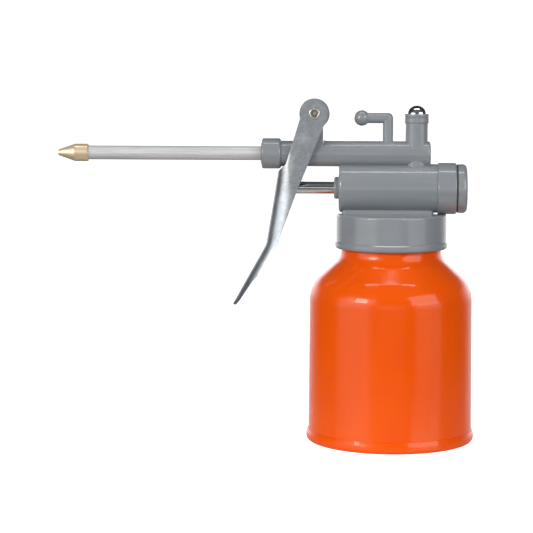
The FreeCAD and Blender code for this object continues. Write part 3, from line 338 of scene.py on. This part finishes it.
def channel_section(distance):
    """The closed section at a place along the lever, in the lever's own frame."""
    share = min(max((distance - FOLD_OPENS) / (FOLD_OPEN - FOLD_OPENS), 0.0), 1.0)
    opened = share * share * (3 - 2 * share)
    fold = TIGHT_FOLD + (OPEN_FOLD - TIGHT_FOLD) * opened
    deep = TIGHT_FOLD + (DEEP_FOLD - TIGHT_FOLD) * opened
    left = max(lever_length - distance, 0.0)
    narrow = 1.0
    if left < TIP_TAPER:
        narrow = math.sqrt(max(1 - (1 - left / TIP_TAPER) ** 2, TIP_NARROWEST ** 2))
    outer, inner = half_fold(fold, deep, 0.0), half_fold(fold, deep, SHEET)
    loop = outer + inner[::-1]
    loop += [(inward, -side) for inward, side in inner[1:] + outer[:0:-1]]
    x, z, turn = along_web(distance)
    return [(x + inward * math.cos(turn), side * narrow, z - inward * math.sin(turn))
            for inward, side in loop]


print("channel", round(2 * half_width, 1), "mm wide, from", SHEET, "mm sheet")

# %% [markdown]
# ## The sweep
# Sections at even stations are skinned into one closed solid. The stations crowd together
# at the tip, where the section narrows fast.

# %% Skin the sections
SWEEP_START, STATION_STEP = -8.0, 1.5
LAST_STRETCH = 4.0


def solid_from_sections(name, sections):
    """A closed solid skinned over sections with equally many points."""
    shape = bmesh.new()
    rows = [[shape.verts.new([v * MM for v in point]) for point in section]
            for section in sections]
    count = len(rows[0])
    for row, following in zip(rows, rows[1:]):
        for i in range(count):
            shape.faces.new((row[i], row[(i + 1) % count],
                             following[(i + 1) % count], following[i]))
    shape.faces.new(rows[0][::-1])
    shape.faces.new(rows[-1])
    bmesh.ops.recalc_face_normals(shape, faces=shape.faces)
    mesh = bpy.data.meshes.new(name)
    shape.to_mesh(mesh)
    shape.free()
    solid = bpy.data.objects.new(name, mesh)
    bpy.context.scene.collection.objects.link(solid)
    return solid


even_run = lever_length - LAST_STRETCH - SWEEP_START
stations = [SWEEP_START + STATION_STEP * i for i in range(int(even_run / STATION_STEP))]
stations += [lever_length - TIP_TAPER + TIP_TAPER * math.sin(math.radians(a))
             for a in range(10, 91, 10)]
stations = sorted(s for s in set(stations) if s <= lever_length)
lever_sheet = solid_from_sections("lever_sheet", [channel_section(s) for s in stations])
print("sections in the sweep:", len(stations))

# %% [markdown]
# ## The side pattern
# The pattern is a short list of corners with the radius of each, measured from the
# rivet. Rounding a corner needs only its two neighbours: the arc touches both sides, so
# it starts and ends at the same distance from the corner. The lower corners are given
# along the grip, because that is how the pattern is drawn.

# %% Corners and arcs of the pattern
EAR_RADIUS = 5.75
ARC_STEPS = 6


def on_grip(along, inward):
    """A place on the grip, along it from the bend and inward from its outer face."""
    return (inward * math.cos(BEND_ANGLE) - along * math.sin(BEND_ANGLE) - WEB_OFFSET,
            -BEND_DEPTH - along * math.cos(BEND_ANGLE) - inward * math.sin(BEND_ANGLE))


def rounded_outline(corners):
    """The outline with arcs in place of the corners that have a radius."""
    outline = []
    for i, (x, z, radius) in enumerate(corners):
        here = Vector((x, z))
        if not radius:
            outline.append(here)
            continue
        before = (Vector(corners[i - 1][:2]) - here).normalized()
        after = (Vector(corners[(i + 1) % len(corners)][:2]) - here).normalized()
        opening = before.angle(after)
        run = radius / math.tan(opening / 2)
        centre = here + (before + after).normalized() * radius / math.sin(opening / 2)
        first, last = here + before * run - centre, here + after * run - centre
        for step in range(ARC_STEPS + 1):
            spoke = first.slerp(last, step / ARC_STEPS).normalized()
            outline.append(centre + spoke * radius)
    return outline


ear_arc = [(EAR_RADIUS * math.cos(math.radians(a)),
            EAR_RADIUS * math.sin(math.radians(a)), 0.0) for a in range(196, -21, -6)]
side_pattern = rounded_outline([
    *ear_arc,
    (-2.58, -36.5, 60.0), (-6.9, -59.4, 18.0),
    (*on_grip(13.0, 3.6), 12.0), (*on_grip(17.0, 2.75), 12.0),
    (*on_grip(27.0, 1.9), 0), (*on_grip(GRIP_LENGTH, 1.3), 0),
    (*on_grip(GRIP_LENGTH + 2, 1.3), 0), (*on_grip(GRIP_LENGTH + 2, -2), 0),
    (-13.45, -BEND_DEPTH, 0), (-13.45, -29.97, 0), (-8.45, -23.3, 1.5),
])
print("points in the side pattern:", len(side_pattern))

# %% [markdown]
# ## Cut, pierce and finish the lever
# Two tools as wide as the press cut the channel: one keeps what lies inside the side
# pattern, the other pierces both ears for the rivet. Then the lever is tilted and hung on
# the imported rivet, and every sharp edge is broken, because a plated edge is never sharp and
# its thin bright line shows where the sheet ends.

# %% Blank, pierce and deburr
TOOL_REACH = 9.0
RIVET_HOLE = 1.8
LEVER_TILT = math.radians(9.24)
SMOOTH_BELOW, BROKEN_ABOVE = math.radians(38), math.radians(50)
EDGE_BREAK = 0.36 * MM


def settle(solid):
    """Works the modifiers into the solid's own mesh."""
    seen = solid.evaluated_get(bpy.context.evaluated_depsgraph_get())
    mesh = bpy.data.meshes.new_from_object(seen)
    solid.modifiers.clear()
    solid.data = mesh
    return mesh


def cut(solid, outline, operation):
    """Keeps or removes what a tool of this outline covers."""
    tool = solid_from_sections("tool", [[(x, side, z) for x, z in outline]
                                        for side in (-TOOL_REACH, TOOL_REACH)])
    modifier = solid.modifiers.new(operation.lower(), "BOOLEAN")
    modifier.operation, modifier.object, modifier.solver = operation, tool, "EXACT"
    settle(solid)
    bpy.data.objects.remove(tool)


cut(lever_sheet, side_pattern, "INTERSECT")
cut(lever_sheet, [(RIVET_HOLE * math.cos(math.radians(a)),
                   RIVET_HOLE * math.sin(math.radians(a))) for a in range(0, 360, 10)],
    "DIFFERENCE")
rivet_low, rivet_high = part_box("lever_rivet")
pivot = Vector(((rivet_low.x + rivet_high.x) / 2, 0, (rivet_low.z + rivet_high.z) / 2))
lever_sheet.data.transform(Matrix.Translation(pivot)
                           @ Matrix.Rotation(LEVER_TILT, 4, "Y"))
lever_sheet.data.shade_smooth()
lever_sheet.data.set_sharp_from_angle(angle=SMOOTH_BELOW)
edges = lever_sheet.modifiers.new("broken_edges", "BEVEL")
edges.width, edges.segments, edges.limit_method = EDGE_BREAK, 3, "ANGLE"
edges.angle_limit = BROKEN_ABOVE
edges.harden_normals = True
finished = settle(lever_sheet)
finished.materials.clear()
finished.materials.append(zinc.material)
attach(lever_sheet, "lever")
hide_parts("lever")
print("lever", len(finished.polygons), "faces")

# %% [markdown]
# ## Plated rivet
# A hollow rivet with a rolled rim. The rolled rim and a small dot in the middle keep a pale
# metal tone, and the dish between them is darker and yellowish. The tone follows the
# distance from the rivet's own axis.

# %% Rivet steel
rivet = Finish("rivet_plate", Metallic=1.0)
across = rivet.axes(centre=(-33.2, 0, 141.55))
radius = rivet.sums("SQRT", rivet.sums("ADD", rivet.sums("POWER", across["X"], 2.0),
                                       rivet.sums("POWER", across["Z"], 2.0)))
dished = rivet.sums("MULTIPLY", rivet.rescale(radius, 1.75, 1.35, smooth=True),
                    rivet.rescale(radius, 0.3, 0.8, smooth=True))
grime = rivet.cloud(rivet.grain((0.7, 0.7, 0.7)), detail=4, roughness=0.7)
metal = rivet.tint(rivet.rescale(grime, 0.3, 0.7), linear(226, 226, 222),
                   linear(198, 197, 190))
inside = rivet.tint(rivet.rescale(grime, 0.35, 0.65), linear(176, 172, 150),
                    linear(112, 106, 84))
rivet.wire("Base Color", rivet.tint(dished, metal, inside))
rivet.wire("Roughness", rivet.rescale(grime, 0.3, 0.7, 0.2, 0.4))
rivet.relief((grime, 0.004))
rivet.coat_parts("lever_rivet")

# %% [markdown]
# ## Chromed steel
# The pump rod and the ball-headed plug are hard chromed: close to a mirror, with a veil of
# oil. The rod slides through its seal, which scores it with fine lines along its length
# and dulls the stretch that shows in front of the barrel.

# %% Chrome on rod and plug
chrome = Finish("hard_chrome", Metallic=1.0)
veil = chrome.cloud(chrome.grain((3, 3, 3)), detail=4, roughness=0.6)
slid = chrome.cloud(chrome.grain((9, 0.12, 0.12)), detail=3, roughness=0.7)
mirror = chrome.tint(chrome.rescale(veil, 0.3, 0.7), linear(226, 229, 233),
                     linear(206, 210, 214))
chrome.wire("Base Color", mirror)
worn = chrome.sums("MULTIPLY", chrome.spot((-22, 0, 109.45), (30, 6, 6)), 0.16)
oiled = chrome.rescale(veil, 0.3, 0.75, 0.05, 0.16)
chrome.wire("Roughness", chrome.sums("ADD", oiled, worn))
chrome.relief((slid, 0.0012))
chrome.coat_parts("plunger_rod", "tower_plug")

# %% [markdown]
# ## Drawn aluminium tube
# The spout is bare drawn tube. The die leaves fine lines along it, and the oxide skin makes
# it dull and nearly white, with darker streaks where it was handled.

# %% Aluminium on the spout
aluminium = Finish("drawn_aluminium", Metallic=0.4)
drawn = aluminium.cloud(aluminium.grain((26, 0.22, 0.22)), detail=5, roughness=0.65)
bands = aluminium.cloud(aluminium.grain((34, 1.3, 1.3)), detail=3)
oxide = aluminium.cloud(aluminium.grain((5, 1.6, 1.6)), detail=4, roughness=0.65)
dullness = aluminium.tint(aluminium.rescale(bands, 0.35, 0.65), linear(216, 217, 224),
                          linear(230, 231, 236))
dullness = aluminium.tint(aluminium.rescale(drawn, 0.42, 0.6, 0.0, 0.6), dullness,
                          linear(176, 178, 186))
aluminium.wire("Base Color", dullness)
aluminium.wire("Roughness", aluminium.rescale(oxide, 0.3, 0.7, 0.42, 0.6))
aluminium.relief((drawn, 0.006), (oxide, 0.002))
aluminium.coat_parts("spout_tube")

# %% [markdown]
# ## Turned brass
# The nozzle is turned from bar. The tool leaves rings so fine that they only spread the
# highlights, and clean brass is pale gold with a slightly redder tone where it tarnishes.

# %% Brass on the nozzle
brass = Finish("turned_brass", Metallic=0.55)
rings = brass.cloud(brass.grain((0.11, 12, 12)), detail=3, roughness=0.6)
tarnish = brass.cloud(brass.grain((3, 2.2, 2.2)), detail=4, roughness=0.6)
gold = brass.tint(brass.rescale(tarnish, 0.35, 0.7), linear(243, 222, 192),
                  linear(230, 205, 172))
brass.wire("Base Color", gold)
brass.wire("Roughness", brass.rescale(tarnish, 0.3, 0.7, 0.34, 0.46))
brass.relief((rings, 0.0025))
brass.coat_parts("nozzle")

# %% [markdown]
# ## Rubber, fibre, hose and wire
# The small parts are mostly out of sight, but they show when the lever or the head moves
# and when the parts are looked at one by one. Rubber is dull with a bloom, fibre is matted,
# the hose is milky, the moulded inner parts keep their natural white, and the balls and
# springs are polished and drawn steel.

# %% Finishes of the small parts


def plain_part(name, dark, light, grain, dull, height, **sockets):
    """A finish with a two-tone cloud, a fine skin, and gloss that follows the cloud."""
    finish = Finish(name, **sockets)
    broad = finish.cloud(finish.grain([12 * v for v in grain]), detail=3)
    fine = finish.cloud(finish.grain(grain), detail=3, roughness=0.6)
    tone = finish.sums("ADD", finish.sums("MULTIPLY", broad, 0.6),
                       finish.sums("MULTIPLY", fine, 0.4))
    finish.wire("Base Color", finish.tint(finish.rescale(tone, 0.35, 0.65), dark, light))
    finish.wire("Roughness", finish.rescale(broad, 0.3, 0.7, *dull))
    finish.relief((fine, height))
    return finish


EVEN = (0.3, 0.3, 0.3)
plain_part("nitrile_rubber", linear(34, 34, 33), linear(58, 57, 54), EVEN, (0.5, 0.75),
           0.006).coat_parts("neck_gasket", "piston_seal")
plain_part("olive_rubber", linear(58, 60, 40), linear(84, 84, 62), EVEN, (0.5, 0.7),
           0.006).coat_parts("end_cap_seal")
plain_part("pressed_fibre", linear(96, 70, 48), linear(142, 112, 84), (0.5, 0.12, 0.12),
           (0.7, 0.9), 0.02).coat_parts("spout_seal")
plain_part("natural_plastic", linear(218, 216, 206), linear(232, 230, 222), EVEN,
           (0.35, 0.5), 0.003).coat_parts("piston", "inlet_seat", "suction_strainer")
plain_part("milky_hose", linear(206, 211, 205), linear(224, 228, 222), (0.4, 0.4, 8),
           (0.2, 0.34), 0.004, Transmission_Weight=0.3).coat_parts("suction_tube")
plain_part("polished_ball", linear(196, 198, 202), linear(222, 223, 226), EVEN,
           (0.08, 0.2), 0.001, Metallic=1.0).coat_parts("inlet_ball", "outlet_ball")
drawn_wire = plain_part("drawn_wire", linear(132, 134, 140), linear(176, 178, 184),
                        (0.15, 0.15, 0.15), (0.26, 0.4), 0.003, Metallic=1.0)
drawn_wire.coat_parts("return_spring", "outlet_spring")

# %% [markdown]
# ## The neck's rolled thread
# The head screws onto the tin's neck, so the neck carries a thread rolled into the sheet.
# It shows when the head is turned up. A thread is a rule and not a shape to be drawn: a
# spiral path with one small section swept along it. Geometry Nodes do just that. The
# class below makes a tree with named sizes, and turns its result into a plain mesh.

# %% The Tree class


class Tree:
    """A Geometry Nodes tree with named inputs, built node by node."""

    def __init__(self, name, **sizes):
        self.group = bpy.data.node_groups.new(name, "GeometryNodeTree")
        self.group.interface.new_socket("Geometry", in_out="INPUT",
                                        socket_type="NodeSocketGeometry")
        self.group.interface.new_socket("Geometry", in_out="OUTPUT",
                                        socket_type="NodeSocketGeometry")
        self.sizes = {}
        for label, value in sizes.items():
            kind = "NodeSocketInt" if isinstance(value, int) else "NodeSocketFloat"
            socket = self.group.interface.new_socket(label, in_out="INPUT",
                                                     socket_type=kind)
            self.sizes[socket.identifier] = value
        self.given = self.group.nodes.new("NodeGroupInput").outputs

    def add(self, kind, inputs, **settings):
        """A node in this tree."""
        return add_node(self.group, kind, inputs, **settings)

    def finish(self, geometry, material):
        """Ends the tree and returns its result as a plain mesh object."""
        real = self.add("GeometryNodeRealizeInstances", {0: geometry})
        dressed = self.add("GeometryNodeSetMaterial", {0: real.outputs[0]})
        dressed.inputs["Material"].default_value = material
        self.add("NodeGroupOutput", {0: dressed.outputs[0]})
        holder = bpy.data.objects.new(self.group.name, bpy.data.meshes.new("empty"))
        bpy.context.scene.collection.objects.link(holder)
        modifier = holder.modifiers.new("build", "NODES")
        modifier.node_group = self.group
        for identifier, value in self.sizes.items():
            modifier[identifier] = value
        print(self.group.name, len(settle(holder).polygons), "faces")
        return holder


# %% [markdown]
# The thread's pitch, turns and section are the tree's inputs. Its foot is sunk in the neck,
# so that no gap shows between them. The section shrinks to nothing at both ends, because a
# rolled thread runs out and doesn't stop at a step.

# %% Sweep the thread along its spiral
THREAD_PITCH = 3.0 * MM
THREAD_TURNS = 2.25
THREAD_HEIGHT = 0.22 * MM
THREAD_WIDTH = 1.5 * MM
THREAD_SINK = 0.25 * MM
BELOW_GASKET = 1.6 * MM
RUN_OUT, THINNEST = 0.08, 0.02
neck_low, neck_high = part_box("neck_gasket")
neck_radius = (neck_high.x - neck_low.x) / 2
thread_foot = neck_low.z - BELOW_GASKET - THREAD_PITCH * THREAD_TURNS
thread = Tree("neck_thread", Turns=THREAD_TURNS, Radius=neck_radius - THREAD_SINK,
              Rise=THREAD_PITCH * THREAD_TURNS, Width=THREAD_WIDTH,
              Height=THREAD_HEIGHT + THREAD_SINK)
path = thread.add("GeometryNodeCurveSpiral", {
    "Resolution": 96, "Rotations": thread.given["Turns"],
    "Start Radius": thread.given["Radius"], "End Radius": thread.given["Radius"],
    "Height": thread.given["Rise"]})
along = thread.add("GeometryNodeSplineParameter", {}).outputs["Factor"]
to_end = thread.add("ShaderNodeMath", {0: 1.0, 1: along}, operation="SUBTRACT").outputs[0]
nearest = thread.add("ShaderNodeMath", {0: along, 1: to_end},
                     operation="MINIMUM").outputs[0]
thickness = thread.add("ShaderNodeMapRange", {
    "Value": nearest, "From Min": 0.0, "From Max": RUN_OUT, "To Min": THINNEST,
    "To Max": 1.0}, interpolation_type="SMOOTHSTEP").outputs[0]
upright = thread.add("GeometryNodeSetCurveNormal", {"Curve": path.outputs[0]},
                     mode="Z_UP")
section = thread.add("GeometryNodeCurvePrimitiveCircle", {"Resolution": 10,
                                                          "Radius": 1.0})
half_ridge = thread.add("ShaderNodeMath", {0: thread.given["Width"], 1: 0.5},
                        operation="MULTIPLY").outputs[0]
oval = thread.add("ShaderNodeCombineXYZ", {0: thread.given["Height"], 1: half_ridge,
                                           2: 1.0})
flattened = thread.add("GeometryNodeTransform", {"Geometry": section.outputs[0],
                                                 "Scale": oval.outputs[0]})
ridge = thread.add("GeometryNodeCurveToMesh", {
    "Curve": upright.outputs[0], "Profile Curve": flattened.outputs[0],
    "Scale": thickness, "Fill Caps": True})
lifted = thread.add("GeometryNodeTransform", {"Geometry": ridge.outputs[0]})
lifted.inputs["Translation"].default_value = (0.0, 0.0, thread_foot)
neck_thread = thread.finish(lifted.outputs[0], enamel.material)
neck_thread.data.shade_smooth()
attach(neck_thread, "can")

# %% [markdown]
# ## Two coil springs
# A strong spring inside the barrel pushes the piston forward again, and a small one in the
# tower holds the delivery ball on its seat. Both are wound from drawn wire, with a closed
# turn at each end so that they press evenly. A coil is a rule as the thread is, so one tree
# winds both: a spiral whose climb is slow in the first and last turn and quick between
# them. A imported solid keeps its length, so a squeezed lever would push the piston through
# it. These coils are fixed meshes carried with the head, so they keep their length too.

# %% Wind the springs
POINTS_A_TURN = 36
CLOSED_CLIMB = 1.04


def wound_spring(node, along, wire, turns):
    """A compression spring in place of a packed one, along X or Z."""
    low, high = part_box(node)
    length = (high - low).dot(along)
    closed = wire * CLOSED_CLIMB
    coil = Tree(node.replace("spring", "coil"), Turns=float(turns),
                Radius=(high.y - low.y - wire) / 2, Wire=wire / 2, Closed=closed,
                Open=length - wire - 2 * closed)
    given = coil.given
    line = coil.add("GeometryNodeCurveSpiral", {
        "Resolution": POINTS_A_TURN, "Rotations": given["Turns"],
        "Start Radius": given["Radius"], "End Radius": given["Radius"], "Height": 0.0})
    share = coil.add("GeometryNodeSplineParameter", {}).outputs["Factor"]
    height = given["Wire"]
    for begin, end, climb in ((0, 1 / turns, "Closed"), (1 / turns, 1 - 1 / turns, "Open"),
                              (1 - 1 / turns, 1, "Closed")):
        part = coil.add("ShaderNodeMapRange", {
            "Value": share, "From Min": begin, "From Max": end, "To Min": 0.0,
            "To Max": given[climb]}).outputs[0]
        height = coil.add("ShaderNodeMath", {0: height, 1: part},
                          operation="ADD").outputs[0]
    ring = coil.add("ShaderNodeSeparateXYZ", {
        0: coil.add("GeometryNodeInputPosition", {}).outputs[0]})
    climbed = coil.add("ShaderNodeCombineXYZ", {0: ring.outputs[0], 1: ring.outputs[1],
                                                2: height})
    placed = coil.add("GeometryNodeSetPosition", {
        "Geometry": line.outputs[0], "Position": climbed.outputs[0]})
    upright = coil.add("GeometryNodeSetCurveNormal", {"Curve": placed.outputs[0]},
                       mode="Z_UP")
    round_wire = coil.add("GeometryNodeCurvePrimitiveCircle", {"Resolution": 8,
                                                               "Radius": given["Wire"]})
    swept = coil.add("GeometryNodeCurveToMesh", {
        "Curve": upright.outputs[0], "Profile Curve": round_wire.outputs[0],
        "Fill Caps": True})
    foot = (low + high - along * length) / 2
    laid = coil.add("GeometryNodeTransform", {"Geometry": swept.outputs[0]})
    laid.inputs["Translation"].default_value = foot
    laid.inputs["Rotation"].default_value = (0.0, along.x * math.radians(90), 0.0)
    spring = coil.finish(laid.outputs[0], drawn_wire.material)
    spring.data.shade_smooth()
    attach(spring, "head")
    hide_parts(node)
    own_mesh(spring)


wound_spring("return_spring", Vector((1, 0, 0)), 1.1 * MM, 8)
wound_spring("outlet_spring", Vector((0, 0, 1)), 0.5 * MM, 7)

# %% [markdown]
# ## White floor
# A plain white floor runs under the can, so that the object stands free. To the camera it
# is as white as the air. What the floor gives back to the object fades with distance, as
# with a small white card on a dark table: the card lights the underside, and the dark
# table mirrors in the coat and keeps the lower wall deep in colour.

# %% Lay the floor
FLOOR_HALF_SIDE = 6.0


def white_floor(half_side):
    """A square floor at the height the can stands on."""
    mesh = bpy.data.meshes.new("floor")
    mesh.from_pydata([(-half_side, -half_side, 0), (half_side, -half_side, 0),
                      (half_side, half_side, 0), (-half_side, half_side, 0)],
                     [], [(0, 1, 2, 3)])
    floor = bpy.data.objects.new("floor", mesh)
    bpy.context.scene.collection.objects.link(floor)
    finish = Finish("white_board", Emission_Color=(1, 1, 1, 1))
    direct = finish.add("ShaderNodeLightPath", {}).outputs["Is Camera Ray"]
    fibre = finish.cloud(finish.grain((3, 3, 3)), detail=3)
    board = finish.tint(fibre, linear(247, 247, 247), linear(250, 250, 250))
    near = finish.spot((0, 0, 0), (330, 330, 330))
    unseen = finish.tint(near, linear(60, 60, 60), linear(250, 250, 250))
    finish.wire("Base Color", finish.tint(direct, unseen, board))
    finish.wire("Roughness", finish.rescale(direct, 0.0, 1.0, 0.08, 0.9))
    finish.wire("Emission Strength", finish.sums("MULTIPLY", direct, 0.9))
    mesh.materials.append(finish.material)
    print("floor", 2 * half_side, "m wide")


white_floor(FLOOR_HALF_SIDE)

# %% [markdown]
# ## Surroundings
# Glossy paint and bare metal show what is round them, so the surroundings are shaped for
# them, in degrees of azimuth and elevation. The air is dim, which keeps the colour deep. A
# backdrop behind the can draws a pale rim round its silhouette. Soft patches in front draw
# the broad bands down the wall, the light along the lever's fold and the pane on the right.

# %% Shape the surroundings
world = bpy.data.worlds.new("studio")
bpy.context.scene.world = world
world.use_nodes = True
air = world.node_tree
background = air.nodes["Background"]
background.inputs["Color"].default_value = (1.0, 1.0, 1.0, 1.0)
look = air.nodes.new("ShaderNodeTexCoord")
split = air.nodes.new("ShaderNodeSeparateXYZ")
air.links.new(look.outputs["Generated"], split.inputs[0])


def sky(operation, first, second=0.0):
    """One Math node on the directions of the surroundings."""
    return add_node(air, "ShaderNodeMath", {0: first, 1: second},
                    operation=operation).outputs[0]


def fade(value, low, high):
    """0 at low and 1 at high, smooth between them."""
    return add_node(air, "ShaderNodeMapRange", {0: value, 1: low, 2: high},
                    interpolation_type="SMOOTHSTEP").outputs[0]


azimuth = sky("DEGREES", sky("ARCTAN2", split.outputs["X"],
                             sky("MULTIPLY", split.outputs["Y"], -1.0)))
elevation = sky("DEGREES", sky("ARCSINE", split.outputs["Z"]))


def soft_patch(radiance, left, right, low, high, soft):
    """A bright part of the surroundings with soft edges, all in degrees."""
    across = sky("MULTIPLY", fade(azimuth, left - soft, left + soft),
                 fade(azimuth, right + soft, right - soft))
    upward = sky("MULTIPLY", fade(elevation, low - soft, low + soft),
                 fade(elevation, high + soft, high - soft))
    return sky("MULTIPLY", sky("MULTIPLY", across, upward), radiance)


DIM, BACKDROP = 0.05, 1.9
PATCHES = (
    # radiance, left, right, low, high, softness of the edge
    (2.2, -80, -30, -10, 22, 8),
    (2.8, -66, -22, 12, 28, 8),
    (1.9, 36, 76, -10, 12, 5),
    (0.9, -20, 20, -10, 9, 6),
    (0.12, -70, 70, 32, 80, 10),
)
backdrop = sky("MULTIPLY", fade(sky("ABSOLUTE", azimuth), 114, 154),
               fade(elevation, 20, 7))
glow = sky("ADD", sky("MULTIPLY", backdrop, BACKDROP), DIM)
for patch in PATCHES:
    glow = sky("ADD", glow, soft_patch(*patch))
sight = air.nodes.new("ShaderNodeLightPath").outputs["Is Camera Ray"]
air.links.new(sky("MAXIMUM", glow, sight), background.inputs["Strength"])
print("soft patches in front:", len(PATCHES))

# %% [markdown]
# ## Two soft boxes and a ceiling
# Where a lamp stands decides where its mark shows on the paint. The left box is small and
# strong, so it makes the bright spot on the shoulder. The right one is wide and weaker, and
# makes a pane-shaped mark. A third is a long strip that hangs overhead and draws the light
# lines along the tops of the tubes and across the neck.

# %% Soft boxes


def soft_box(name, azimuth, elevation, distance, width, height, radiance,
             colour=(1, 1, 1)):
    """A rectangular lamp aimed at the can. Azimuth 0 is in front, 90 is on its right."""
    lamp = bpy.data.lights.new(name, "AREA")
    lamp.shape = "RECTANGLE"
    lamp.size, lamp.size_y = width, height
    lamp.energy = radiance * math.pi * width * height
    lamp.color = colour
    turn, rise = math.radians(azimuth), math.radians(elevation)
    away = Vector((math.sin(turn) * math.cos(rise), -math.cos(turn) * math.cos(rise),
                   math.sin(rise)))
    box = bpy.data.objects.new(name, lamp)
    bpy.context.scene.collection.objects.link(box)
    box.location = Vector((0, 0, 0.08)) + away * distance
    box.rotation_euler = away.to_track_quat("Z", "Y").to_euler()
    box.visible_camera = False
    print(name, "at", [round(v, 2) for v in box.location])


soft_box("left_box", -43, 19, 1.1, 0.32, 0.24, 15.5, (1.0, 0.96, 0.8))
soft_box("right_box", 50, 21, 1.1, 0.84, 0.6, 3.9, (1.0, 0.97, 0.92))
soft_box("ceiling", 0, 85, 1.0, 0.84, 0.1, 7.0)

# %% [markdown]
# ## Camera
# A long lens a little above the can, looking slightly down, as a catalogue picture is
# taken. The place and the angles are in the model's own frame, so that the spout runs
# across the picture and the can stands upright in it.

# %% Camera
LENS = 135.24
CAMERA_PLACE = Vector((-7.4963, -861.8022, 172.1513)) * MM
YAW, DOWN, ROLL = (math.radians(v) for v in (-3.0802, 6.4197, 0.1234))
forward = Vector((math.sin(YAW) * math.cos(DOWN), math.cos(YAW) * math.cos(DOWN),
                  -math.sin(DOWN)))
level = Vector((math.cos(YAW), -math.sin(YAW), 0))
upward = level.cross(forward)
right = math.cos(ROLL) * level + math.sin(ROLL) * upward
top = -math.sin(ROLL) * level + math.cos(ROLL) * upward
camera = bpy.data.objects.new("camera", bpy.data.cameras.new("camera"))
bpy.context.scene.collection.objects.link(camera)
camera.matrix_world = Matrix.Translation(CAMERA_PLACE) @ Matrix(
    (right, top, -forward)).transposed().to_4x4()
camera.data.lens = LENS
camera.data.sensor_width = 36.0
camera.data.clip_start, camera.data.clip_end = 0.01, 50.0
bpy.context.scene.camera = camera
bpy.context.scene.view_settings.view_transform = "Standard"
print("camera at", [round(v, 3) for v in camera.location])
